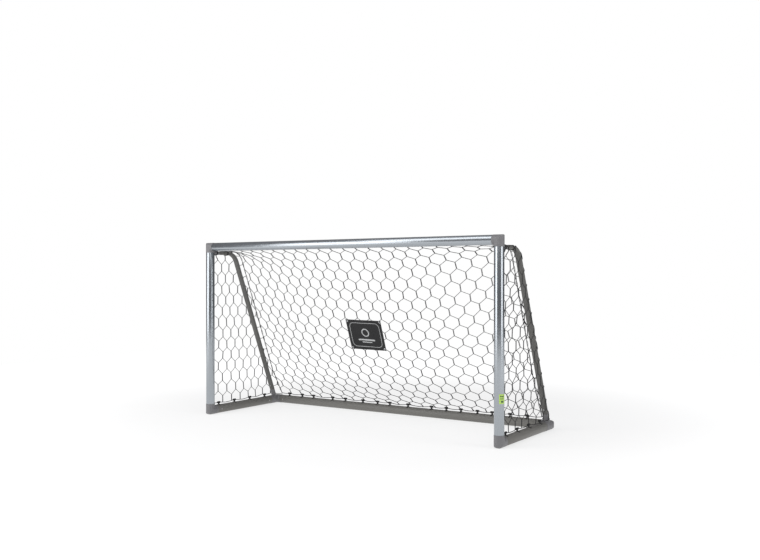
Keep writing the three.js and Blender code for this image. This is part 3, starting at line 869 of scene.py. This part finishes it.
# %% [markdown]
# ## The net
#
# A knotless net is knitted from twines that run from top to bottom. Each twine joins its left neighbour for a
# few centimetres, then crosses over to its right neighbour, and so on: that makes hexagons, with double twine
# on their upright sides and single twine on their slanted ones. The net could be a flat pattern with a
# wireframe, but then every side would be equally thick. Here each twine is its own line, laid on the net's
# shape, and given its thickness by a curve's bevel.

# %% Twines of a honeycomb
TWINE = 0.0050
UPRIGHT_SHARE = 0.62


def honeycomb_twines(columns, rows):
    """Each twine as (across, down) points in cells and rows, with its neighbour's side as -1 or 1."""
    for twine_index in range(2 * columns):
        line = []
        for row in range(rows):
            side = (twine_index + row) % 2
            across = (twine_index + side) / 2
            lean = -1 if side else 1
            line.append((across, row, lean))
            line.append((across, row + UPRIGHT_SHARE, lean))
        yield line


def strands(name, lines, thickness, cyclic=False):
    """Lines of points as round cords of one thickness, in one mesh."""
    curve = bpy.data.curves.new(name, "CURVE")
    curve.dimensions = "3D"
    curve.bevel_depth = thickness / 2
    curve.bevel_resolution = 1
    curve.use_fill_caps = not cyclic
    for line in lines:
        spline = curve.splines.new("POLY")
        spline.points.add(len(line) - 1)
        for point, where in zip(spline.points, line):
            point.co = (*where, 1)
        spline.use_cyclic_u = cyclic
    made = bpy.data.objects.new(name, curve)
    bpy.context.scene.collection.objects.link(made)
    only(made)
    bpy.ops.object.convert(target="MESH")
    made = bpy.context.object
    made.name = name
    return made


def smooth(share):
    share = min(max(share, 0.0), 1.0)
    return share * share * (3 - 2 * share)


# %% The run of the net over a support
NET_GAP = 0.003
SEAM_INSET = 0.060
BORDER_CORD = 0.006
HOOK_RADIUS = 0.0085
BAR_CORD_ANGLE = math.radians(40)
net_lift = OVAL_THICKNESS / 2 + NET_GAP
outer_x = post_x + OVAL_WIDTH / 2 + NET_GAP
seam_x = post_x - SEAM_INSET
hook_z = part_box("net_clip_rear_1")[1].z - HOOK_RADIUS
cord_radius = tube_radius + TWINE
bar_cord = Vector((
    0, front_y + cord_radius * math.cos(BAR_CORD_ANGLE), bar_z - cord_radius * math.sin(BAR_CORD_ANGLE)
))
foot_axis = Vector((0, SUPPORT_FOOT_Y, base_z))
LEAVES_SUPPORT = 0.28
REACHES_ARM = 0.09
BEND_POINTS = 8


def edge_profile(bottom_z):
    """The seam's run behind a support, from the crossbar to the rear bar, as points in the side plane."""
    radius = SUPPORT_BEND + net_lift
    points = [bar_cord, Vector((0, front_y + REACHES_ARM, arm_z + net_lift))]
    for step in range(BEND_POINTS + 1):
        angle = turn * step / BEND_POINTS
        points.append(Vector((0, bend_y + radius * math.sin(angle), bend_z + radius * math.cos(angle))))
    bottom = Vector((0, rear_y, bottom_z))
    along = (bottom - foot_axis).dot(up_slope) + LEAVES_SUPPORT
    points.append(foot_axis + up_slope * along + off_slope * net_lift)
    points.append(bottom)
    return points


def at_share(points, share):
    """The point at a share of a polyline's length."""
    lengths = [(b - a).length for a, b in zip(points, points[1:])]
    left = share * sum(lengths)
    for a, b, length in zip(points, points[1:], lengths):
        if left <= length:
            return a.lerp(b, left / length)
        left -= length
    return points[-1].copy()


net_run = sum((b - a).length for a, b in zip(edge_profile(hook_z), edge_profile(hook_z)[1:]))
print("net runs", round(net_run, 3), "m from crossbar to rear bar, hooks at", round(hook_z, 4))

# %% [markdown]
# The net's lower edge is held at the clips, and its border cord dips a little between them. Between the
# supports nothing carries the roof, so the net drops from the crossbar and swings back to the rear bar.

# %% The border cord over the clips
rear_clips = sorted(middle(f"net_clip_rear_{i + 1}").x for i in range(16))
side_clips = sorted(middle(f"net_clip_left_{i + 1}").y for i in range(4))
DIP_SHARE, DEEPEST_DIP = 0.05, 0.010


def dipped(where, stops):
    """The border cord's height at a place between two stops."""
    for a, b in zip(stops, stops[1:]):
        if a <= where <= b:
            return hook_z - math.sin(math.pi * (where - a) / (b - a)) * min((b - a) * DIP_SHARE, DEEPEST_DIP)
    return hook_z


post_rear_y = front_y + tube_radius + TWINE
rear_stops = [-seam_x, *rear_clips, seam_x]
side_stops = [post_rear_y, *side_clips, SUPPORT_FOOT_Y]

# %% The shape of the roof and back
SLACK_POWER = 2.2
SLACK_HIGH, SLACK_LOW = Vector((0, -0.190, 1.450)), Vector((0, -0.140, 0.430))
WANDER, RIPPLE = 0.010, 0.004
SLACK_STEPS = 40
FADE_ACROSS, FADE_TOP, FADE_BOTTOM = 0.05, 0.06, 0.05
NET_SEED = 7
noise.seed_set(NET_SEED)  # noise vectors take their start from the clock if no seed is set


def slack_profile(bottom_z):
    """The net's run in the middle of the goal, as a bezier curve from crossbar to rear bar."""
    end = Vector((0, rear_y, bottom_z))
    points = []
    for step in range(SLACK_STEPS + 1):
        t = step / SLACK_STEPS
        u = 1 - t
        points.append(
            bar_cord * u ** 3 + SLACK_HIGH * 3 * t * u ** 2 + SLACK_LOW * 3 * t * t * u + end * t ** 3
        )
    return points


def wander(point, fade):
    """Small unevenness, which the seed keeps the same on every run."""
    slow = noise.noise_vector(point * 2.3 + Vector((3, 5, 7)))
    quick = noise.noise_vector(point * 11 + Vector((1, 2, 3)))
    return point + (slow * WANDER + quick * RIPPLE) * fade


def back_point(across, share):
    """A point of the roof and back: across from -1 to 1, and share from the crossbar to the rear bar."""
    bottom_z = dipped(across * seam_x, rear_stops)
    free = 1 - abs(across) ** SLACK_POWER
    point = at_share(edge_profile(bottom_z), share).lerp(at_share(slack_profile(bottom_z), share), free)
    point.x = across * seam_x
    fade = smooth((1 - abs(across)) / FADE_ACROSS) * smooth(share / FADE_TOP)
    return wander(point, fade * smooth((1 - share) / FADE_BOTTOM))


# %% Roof and back as one knitted panel
BACK_COLUMNS = 22
ROW_PITCH = 0.0925
back_rows = round(net_run / ROW_PITCH)
total_rows = back_rows - 1 + UPRIGHT_SHARE


def laid_on_back(across_cells, down_rows, lean):
    shift = lean * TWINE * 0.5 / (2 * seam_x / BACK_COLUMNS)
    across = 2 * (across_cells + shift) / BACK_COLUMNS - 1
    return back_point(min(max(across, -1), 1), down_rows / total_rows)


back_lines = [[laid_on_back(*p) for p in line] for line in honeycomb_twines(BACK_COLUMNS, back_rows)]
net_back = strands("net_roof_and_back", back_lines, TWINE)
paint(net_back, twine_finish)
hand_over(net_back, "net_cord", ["net_roof", "net_back"], angle=60)
print(len(back_lines), "twines,", back_rows, "rows,", triangles(net_back), "triangles")

# %% [markdown]
# A side panel starts behind the post, passes outside the support and wraps round behind it to the seam. It is
# laid out flat in the side plane first, cut at the seam there, and then every point is folded round the
# support by how far it reaches past the support's axis.

# %% Folding the side plane round the support
SIDE_CELL, SIDE_PITCH = 0.118, 0.099
oval_straight = (OVAL_WIDTH - OVAL_THICKNESS) / 2
fold_arc = net_lift * math.pi / 2
fold_length = fold_arc + oval_straight + SEAM_INSET
WIDENS_EARLY, FOOT_POWER = 1.15, 6
LOW_TOP, LOW_BAND = 0.40, 0.30
ARM_BELOW, ARM_BAND = 0.07, 0.05
SUPPORT_FADE, POST_FADE, GROUND_FADE = 0.12, 0.06, 0.15


def behind_axis(y, z):
    """How far a point of the side plane is behind the support's axis, and which way that is."""
    if y < bend_y:
        return z - arm_z, Z
    from_bend = Vector((0, y - bend_y, z - bend_z))
    if z > bend_z and math.atan2(from_bend.y, from_bend.z) < turn:
        return from_bend.length - SUPPORT_BEND, from_bend.normalized()
    return (Vector((0, y, z)) - foot_axis).dot(off_slope), off_slope


def axis_y(z):
    """How far back the support's axis is at a height."""
    return SUPPORT_FOOT_Y - (z - base_z) * math.tan(slope)


def side_offset(y, z):
    """How far outside the post's middle plane the panel is, before it reaches the support's axis."""
    share = smooth((y - post_rear_y) / max(axis_y(z) - post_rear_y, 0.01) * WIDENS_EARLY)
    low_down = smooth((LOW_TOP - z) / LOW_BAND)
    beside_arm = smooth((z - arm_z + ARM_BELOW) / ARM_BAND)
    return (outer_x - post_x) * max(share * (1 - low_down * (1 - share ** FOOT_POWER)), beside_arm)


def folded(sign, y, z, fade=0.0):
    """A point of the side plane, taken out to the panel and round the support."""
    behind, way = behind_axis(y, z)
    if behind <= 0:
        point = Vector((sign * (post_x + side_offset(y, z)), y, z))
        return wander(point, fade * smooth(-behind / SUPPORT_FADE))
    base = Vector((0, y, z)) - way * behind
    if behind < fold_arc:
        angle = behind / net_lift
        out, lift = oval_straight + net_lift * math.cos(angle), net_lift * math.sin(angle)
    else:
        past = behind - fold_arc
        out = oval_straight - past
        seam_end = Vector((0, rear_y, hook_z)) - foot_axis
        low = 1 - ((base - foot_axis - seam_end).dot(up_slope)) / LEAVES_SUPPORT
        leaving = min(max(low, 0), 1) * (seam_end.dot(off_slope) - net_lift)
        lift = net_lift + leaving * smooth(past / (fold_length - fold_arc))
    return base + way * lift + X * (sign * (post_x + out))


# %% Cutting a twine at the seam
FOLD_STEPS = 5


def inside_seam(point):
    return behind_axis(point.y, point.z)[0] <= fold_length


def cut_at_seam(line):
    """The stretches of a line that lie before the seam, each ending on it."""
    stretches, current = [], []
    for a, b in zip(line, line[1:]):
        if inside_seam(a) and not current:
            current = [a]
        if inside_seam(a) != inside_seam(b):
            near, far = (a, b) if inside_seam(a) else (b, a)
            for _ in range(12):
                half = near.lerp(far, 0.5)
                near, far = (half, far) if inside_seam(half) else (near, half)
            if inside_seam(a):
                stretches.append(current + [near])
                current = []
            else:
                current = [near, b]
        elif inside_seam(a):
            current.append(b)
    if len(current) > 1:
        stretches.append(current)
    return stretches


def finer(line):
    """The same line with more points where it goes round the support."""
    points = [line[0]]
    for a, b in zip(line, line[1:]):
        near_support = max(behind_axis(p.y, p.z)[0] for p in (a, b)) > -0.02
        steps = FOLD_STEPS if near_support else 1
        points += [a.lerp(b, (i + 1) / steps) for i in range(steps)]
    return points


# %% The side panels
side_top = arm_z + fold_length
side_rear = axis_y(hook_z) + fold_length / math.cos(slope)
side_columns = math.ceil((side_rear - post_rear_y) / SIDE_CELL)
side_rows = round((side_top - hook_z) / SIDE_PITCH)
side_total = side_rows - 1 + UPRIGHT_SHARE


def laid_on_side(across, down, lean):
    y = max(post_rear_y + across * SIDE_CELL + lean * TWINE * 0.5, post_rear_y)
    bottom = dipped(y, side_stops)
    return Vector((0, y, side_top - (side_top - bottom) * down / side_total))


for name, sign in SIDES:
    lines = []
    for line in honeycomb_twines(side_columns, side_rows):
        for stretch in cut_at_seam([laid_on_side(*p) for p in line]):
            points = []
            for point in finer(stretch):
                fade = smooth((point.y - post_rear_y) / POST_FADE) * smooth((point.z - hook_z) / GROUND_FADE)
                points.append(folded(sign, point.y, point.z, fade))
            lines.append(points)
    side_net = strands(f"net_side_{name}", lines, TWINE)
    paint(side_net, twine_finish)
    hand_over(side_net, "net_cord", [f"net_{name}"], angle=60)
    print(side_net.name, len(lines), "twines,", triangles(side_net), "triangles")

# %% [markdown]
# Cords bind the net's edges: one behind the crossbar and each post, two twisted ones in each seam along the
# supports, and one along the ground through the clips' hooks. Short lashings tie the net to each oval arm.

# %% Border cords
SEAM_CORD, SEAM_TWIST, SEAM_TURNS = 0.0045, 0.0036, 14
BAR_STEPS, GROUND_STEPS, SIDE_STEPS, SEAM_STEPS = 60, 300, 160, 240
cord_lines = [
    [back_point(2 * i / BAR_STEPS - 1, 0) for i in range(BAR_STEPS + 1)],
    [back_point(2 * i / GROUND_STEPS - 1, 1) for i in range(GROUND_STEPS + 1)],
]
seam_lines = []
for _, sign in SIDES:
    rise = side_top - hook_z
    zs = [hook_z + rise * i / SIDE_STEPS for i in range(SIDE_STEPS + 1)]
    cord_lines.append([folded(sign, post_rear_y, z) for z in zs])
    ys = [post_rear_y + (side_rear - post_rear_y) * i / SIDE_STEPS for i in range(SIDE_STEPS + 1)]
    cord_lines.append([folded(sign, y, dipped(y, side_stops)) for y in ys])
    for phase in (0, math.pi):
        line = []
        for i in range(SEAM_STEPS + 1):
            angle = math.tau * SEAM_TURNS * i / SEAM_STEPS + phase
            on_seam = back_point(sign, i / SEAM_STEPS)
            line.append(on_seam + (X * math.cos(angle) + off_slope * math.sin(angle)) * SEAM_TWIST)
        seam_lines.append(line)
border = join(
    "net_border_cords",
    strands("edge_cords", cord_lines, BORDER_CORD),
    strands("seam_cords", seam_lines, SEAM_CORD),
)
paint(border, twine_finish)
hand_over(border, "net_cord", angle=60)
print(len(cord_lines), "edge cords and", len(seam_lines), "seam cords")


# %% Lashings round the oval arms
def oval_loop(sign, y, lean, grow):
    """One turn of cord round the oval arm, as points."""
    radius = OVAL_THICKNESS / 2 + grow
    points = []
    for i in range(32):
        angle = math.tau * (i + 0.5) / 32
        x = math.cos(angle) * radius + math.copysign(oval_straight, math.cos(angle))
        points.append(Vector((sign * post_x + x, y + lean * math.sin(angle), arm_z + math.sin(angle) * radius)))
    return points


LASHING_CORD, LASHING_LEAN, LASHING_GAP = 0.006, 0.002, 0.0002
LASHING_TURNS, LASHING_PITCH = 2, 1.1
FRONT_LASHING, REAR_LASHING = 0.062, 0.030
loops = []
for _, sign in SIDES:
    for y in (front_y + FRONT_LASHING, bend_y - REAR_LASHING):
        for turn_index in range(LASHING_TURNS):
            grow = LASHING_CORD / 2 + LASHING_GAP
            loops.append(oval_loop(sign, y + turn_index * LASHING_CORD * LASHING_PITCH, LASHING_LEAN, grow))
lashings = strands("net_lashings", loops, LASHING_CORD, cyclic=True)
paint(lashings, twine_finish)
hand_over(lashings, "net_cord", angle=60)
print(len(loops), "turns of lashing")

# %% [markdown]
# ## Net clips
#
# A clip is a springy saddle that sits on the tube, with a stem and a closed hook for the border cord. It is
# modelled once, lying along X on a tube through the origin, and copied to each of its places.

# %% One clip
CLIP_LENGTH, CLIP_SHELL, CLIP_HALF_ANGLE = 0.016, 0.0024, 0.62
STEM_ACROSS, STEM_ALONG = 0.008, 0.010
EYE_RADIUS = 0.0046
hook_height = hook_z - base_z


def ring_piece(radius, length, height, vertices=40):
    """A short open tube along X, without a wall yet, whose middle is at a height."""
    deselect()
    bpy.ops.mesh.primitive_cylinder_add(
        vertices=vertices, radius=radius, depth=length, end_fill_type="NOTHING",
        location=(0, 0, height), rotation=(0, math.pi / 2, 0),
    )
    ring = bpy.context.object
    bpy.ops.object.transform_apply(location=True, rotation=True, scale=True)
    return ring


def net_clip():
    saddle = ring_piece(tube_radius + SEAM, CLIP_LENGTH, 0, 96)
    limit = (tube_radius + SEAM) * math.cos(CLIP_HALF_ANGLE)
    pick(saddle, lambda p: p.z < limit)
    bpy.ops.mesh.delete(type="VERT")
    bpy.ops.object.mode_set(mode="OBJECT")
    modify(saddle, "SOLIDIFY", thickness=CLIP_SHELL, offset=1.0)
    modify(saddle, "BEVEL", width=0.0006, segments=2)
    deselect()
    stem_low, stem_high = tube_radius + CLIP_SHELL * 0.4, hook_height - EYE_RADIUS - 0.001
    bpy.ops.mesh.primitive_cube_add(size=1, location=(0, 0, (stem_low + stem_high) / 2))
    stem = bpy.context.object
    stem.scale = (STEM_ALONG, STEM_ACROSS, stem_high - stem_low)
    bpy.ops.object.transform_apply(location=True, rotation=True, scale=True)
    pick(stem, lambda p: p.z < stem_low + 1e-5, "FACE")
    bpy.ops.transform.resize(value=(1.4, 1.8, 1))
    bpy.ops.object.mode_set(mode="OBJECT")
    modify(stem, "BEVEL", width=0.001, segments=2)
    hook = ring_piece(HOOK_RADIUS, STEM_ALONG, hook_height)
    modify(hook, "SOLIDIFY", thickness=HOOK_RADIUS - EYE_RADIUS, offset=-1.0)
    modify(hook, "BEVEL", width=0.0008, segments=2)
    return join("clip_pattern", saddle, stem, hook)


clip_pattern = net_clip()
print("a clip has", triangles(clip_pattern), "triangles")

# %% Every clip in its place
clip_nodes = [f"net_clip_rear_{i + 1}" for i in range(16)]
clip_nodes += [f"net_clip_{name}_{i + 1}" for name, sign in SIDES for i in range(4)]
for node in clip_nodes:
    centre = middle(node)
    along = X if "rear" in node else Y
    clip = copy_of(clip_pattern, node.replace("net_clip", "clip"))
    place(clip, Vector((centre.x, centre.y, base_z)), along, Z)
    paint(clip, clip_finish)
    hand_over(clip, "clip_plastic", [node])
bpy.data.objects.remove(clip_pattern)
print(len(clip_nodes), "clips")

# %% Knots beside each hook
KNOT_CORD, KNOT_RADIUS = 0.005, 0.0068
KNOT_PLACES = (-0.0135, -0.0085, 0.0085, 0.0135)
KNOT_DROP, KNOT_POINTS = 0.001, 14
knots = []
for node in clip_nodes:
    centre = middle(node)
    along, across = (X, Y) if "rear" in node else (Y, X)
    for offset in KNOT_PLACES:
        turn_middle = Vector((centre.x, centre.y, hook_z - KNOT_DROP)) + along * offset
        knots.append([
            turn_middle + (across * math.cos(angle) + Z * math.sin(angle)) * KNOT_RADIUS
            for angle in [math.tau * i / KNOT_POINTS for i in range(KNOT_POINTS)]
        ])
knot_set = strands("net_knots", knots, KNOT_CORD, cyclic=True)
paint(knot_set, twine_finish)
hand_over(knot_set, "net_cord", angle=60)
print(len(knots), "turns of cord beside the hooks")

# %% [markdown]
# ## Banner
#
# The banner is a small coated cloth that hangs on the inside of the net from four eyelets. It starts as a
# flat grid with its own UV map, which the print follows, and is then laid on the net's slope with a few
# shallow ripples that run from eyelet to eyelet.

# %% Banner cloth
BANNER_WIDTH, BANNER_HEIGHT = 0.358, 0.283
BANNER_CLOTH = 0.0009
BANNER_RIPPLE, BANNER_LIFT = 0.0035, 0.0095
BANNER_LEAN, BANNER_TILT = 0.010, 0.006
SLOPE_REACH = 0.06
banner_middle = middle("banner")


def share_at_height(across, z):
    return min((i / 400 for i in range(401)), key=lambda s: abs(back_point(across, s).z - z))


banner_across = banner_middle.x / seam_x
banner_share = share_at_height(banner_across, banner_middle.z)
banner_seat = back_point(banner_across, banner_share)
above = back_point(banner_across, banner_share - SLOPE_REACH)
below = back_point(banner_across, banner_share + SLOPE_REACH)
banner_up = (above - below).normalized()
banner_up = Vector((0, banner_up.y, banner_up.z)).normalized()
banner_out = X.cross(banner_up)
if banner_out.y > 0:
    banner_out = -banner_out
print("banner hangs at", [round(v, 3) for v in banner_seat])


def banner_point(u, v):
    """The banner's surface, with u and v from -0.5 to 0.5."""
    ripple = math.sin(u * 9 + v * 5) * 0.6 + math.sin(v * 11 - u * 4) * 0.4
    middle_fade = (1 - 3 * u * u) * (1 - 3 * v * v)
    lift = BANNER_LIFT + BANNER_RIPPLE * ripple * middle_fade
    across = u * BANNER_WIDTH + BANNER_LEAN * v
    up = v * BANNER_HEIGHT - BANNER_TILT * u
    return banner_seat + X * across + banner_up * up + banner_out * lift


deselect()
bpy.ops.mesh.primitive_grid_add(x_subdivisions=48, y_subdivisions=38, size=1)
banner = bpy.context.object
banner.name = "banner_cloth"
for vertex in banner.data.vertices:
    vertex.co = banner_point(vertex.co.x, vertex.co.y)
modify(banner, "SOLIDIFY", thickness=BANNER_CLOTH, offset=0.0)
print("banner", triangles(banner), "triangles")


# %% Banner print: a thin rounded frame, a plain ring and two bars
def banner_cloth():
    finish = Finish("banner_cloth", roughness=0.62, specular_ior_level=0.3)
    uv = finish.node("ShaderNodeUVMap")
    split = finish.node("ShaderNodeSeparateXYZ", values={0: uv})
    across = (split - 0.5) * BANNER_WIDTH
    up_socket = Value(finish, split.socket.node.outputs["Y"])
    up = (up_socket - 0.5) * BANNER_HEIGHT

    def box_distance(x, y, half_width, half_height, radius):
        outside_x = (x.size() - (half_width - radius)).floor_at(0)
        outside_y = (y.size() - (half_height - radius)).floor_at(0)
        return (outside_x * outside_x + outside_y * outside_y).root() - radius

    frame_line = 1 - (box_distance(across, up, 0.150, 0.112, 0.040).size()).step(0.0016, 0.0026)
    ring_distance = (across * across + (up - 0.022) * (up - 0.022)).root() - 0.034
    ring = 1 - ring_distance.size().step(0.0045, 0.0055)
    bar_one = 1 - box_distance(across, up + 0.048, 0.085, 0.007, 0.006).step(0.0, 0.0008)
    bar_two = 1 - box_distance(across, up + 0.070, 0.050, 0.004, 0.003).step(0.0, 0.0008)
    print_mask = (frame_line + ring + bar_one + bar_two).step(0.0, 1.0)
    threads = finish.node(
        "ShaderNodeTexWave", {"wave_type": "BANDS", "bands_direction": "X"}, {"Vector": uv, "Scale": 90.0}
    ) + finish.node(
        "ShaderNodeTexWave", {"wave_type": "BANDS", "bands_direction": "Y"}, {"Vector": uv, "Scale": 70.0}
    )
    worn = finish.noise(30, finish.place(), detail=3)
    cloth = finish.colour_between(worn, (0.010, 0.010, 0.011), (0.020, 0.020, 0.021))
    ink = finish.colour_between(worn, (0.42, 0.43, 0.43), (0.58, 0.59, 0.59))
    finish.feed("Base Color", finish.colour_between(print_mask * 0.9, cloth, ink))
    finish.bump(threads, 0.25, 0.0003)
    return finish


paint(banner, banner_cloth())
hand_over(banner, "banner_fabric", ["banner"], angle=60)

# %% Eyelets and ties
EYELET_INSET = 0.014
EYELET_RADIUS, EYELET_WIRE, EYELET_FLATNESS = 0.0066, 0.0024, 0.55
TIE_CORD, TIE_POINTS = 0.0022, 20
TIE_OUT, TIE_DOWN, TIE_LONG, TIE_TALL = 0.009, 0.004, 0.011, 0.007
eyelets, ties = [], []
for u_side in (-1, 1):
    for v_side in (-1, 1):
        u = u_side * (0.5 - EYELET_INSET / BANNER_WIDTH)
        v = v_side * (0.5 - EYELET_INSET / BANNER_HEIGHT)
        where = banner_point(u, v)
        deselect()
        bpy.ops.mesh.primitive_torus_add(
            major_radius=EYELET_RADIUS, minor_radius=EYELET_WIRE, major_segments=36, minor_segments=10
        )
        eyelet = bpy.context.object
        pick(eyelet, lambda p: True)
        bpy.ops.transform.resize(value=(1, 1, EYELET_FLATNESS))
        bpy.ops.object.mode_set(mode="OBJECT")
        place(eyelet, where, X, banner_out)
        eyelets.append(eyelet)
        corner_way = (X * u_side + banner_up * v_side).normalized()
        centre = where + corner_way * TIE_OUT - banner_out * TIE_DOWN
        ties.append([
            centre + corner_way * math.cos(angle) * TIE_LONG + banner_out * math.sin(angle) * TIE_TALL
            for angle in [math.tau * i / TIE_POINTS for i in range(TIE_POINTS)]
        ])
eyelet_set = join("banner_eyelets", *eyelets)
paint(eyelet_set, steel_finish)
hand_over(eyelet_set, "spring_steel", angle=60)
tie_set = strands("banner_ties", ties, TIE_CORD, cyclic=True)
paint(tie_set, twine_finish)
hand_over(tie_set, "net_cord", angle=60)

# %% [markdown]
# ## Label
#
# A small green film label is stuck round the outer front of the right post. It is a strip of a cylinder just
# outside the tube's wall, with rounded corners, and its print is a few plain dark bars.

# %% Label film
LABEL_ARC, LABEL_DIRECTION, LABEL_FILM, LABEL_GAP = 1.3, 1.08, 0.0004, 0.00035
label_low, label_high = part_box("post_label")
label_z = (label_low.z + label_high.z) / 2
label_height = label_high.z - label_low.z
deselect()
bpy.ops.mesh.primitive_grid_add(x_subdivisions=40, y_subdivisions=40, size=1)
label = bpy.context.object
label.name = "post_label_film"
pick(label, lambda p: abs(abs(p.x) - 0.5) < 1e-4 and abs(abs(p.y) - 0.5) < 1e-4)
bpy.ops.mesh.bevel(offset=0.06, segments=4, affect="VERTICES")
bpy.ops.object.mode_set(mode="OBJECT")
for vertex in label.data.vertices:
    angle = LABEL_DIRECTION + vertex.co.x * LABEL_ARC
    reach = tube_radius + LABEL_GAP
    height = label_z + vertex.co.y * label_height
    vertex.co = Vector((post_x + math.sin(angle) * reach, front_y - math.cos(angle) * reach, height))
modify(label, "SOLIDIFY", thickness=LABEL_FILM, offset=1.0)


PRINT_BARS = ((0.78, 0.36, 0.05), (0.60, 0.30, 0.018), (0.50, 0.34, 0.018), (0.22, 0.2, 0.1))
BAR_EDGE = 0.01


def label_film():
    finish = Finish("label_film", roughness=0.34)
    uv = finish.node("ShaderNodeUVMap")
    split = finish.node("ShaderNodeSeparateXYZ", values={0: uv})
    up = Value(finish, split.socket.node.outputs["Y"])
    mask = 0.0
    for centre, half_width, half_height in PRINT_BARS:
        in_x = 1 - (split - 0.5).size().step(half_width, half_width + BAR_EDGE)
        in_y = 1 - (up - centre).size().step(half_height, half_height + BAR_EDGE)
        mask = in_x * in_y + mask
    cloud = finish.noise(40, finish.place(), detail=2)
    film = finish.colour_between(cloud, (0.40, 0.62, 0.10), (0.50, 0.72, 0.16))
    ink = finish.colour_between(cloud, (0.035, 0.09, 0.03), (0.05, 0.12, 0.04))
    finish.feed("Base Color", finish.colour_between(mask, film, ink))
    return finish


paint(label, label_film())
hand_over(label, "label_film", ["post_label"], angle=60)
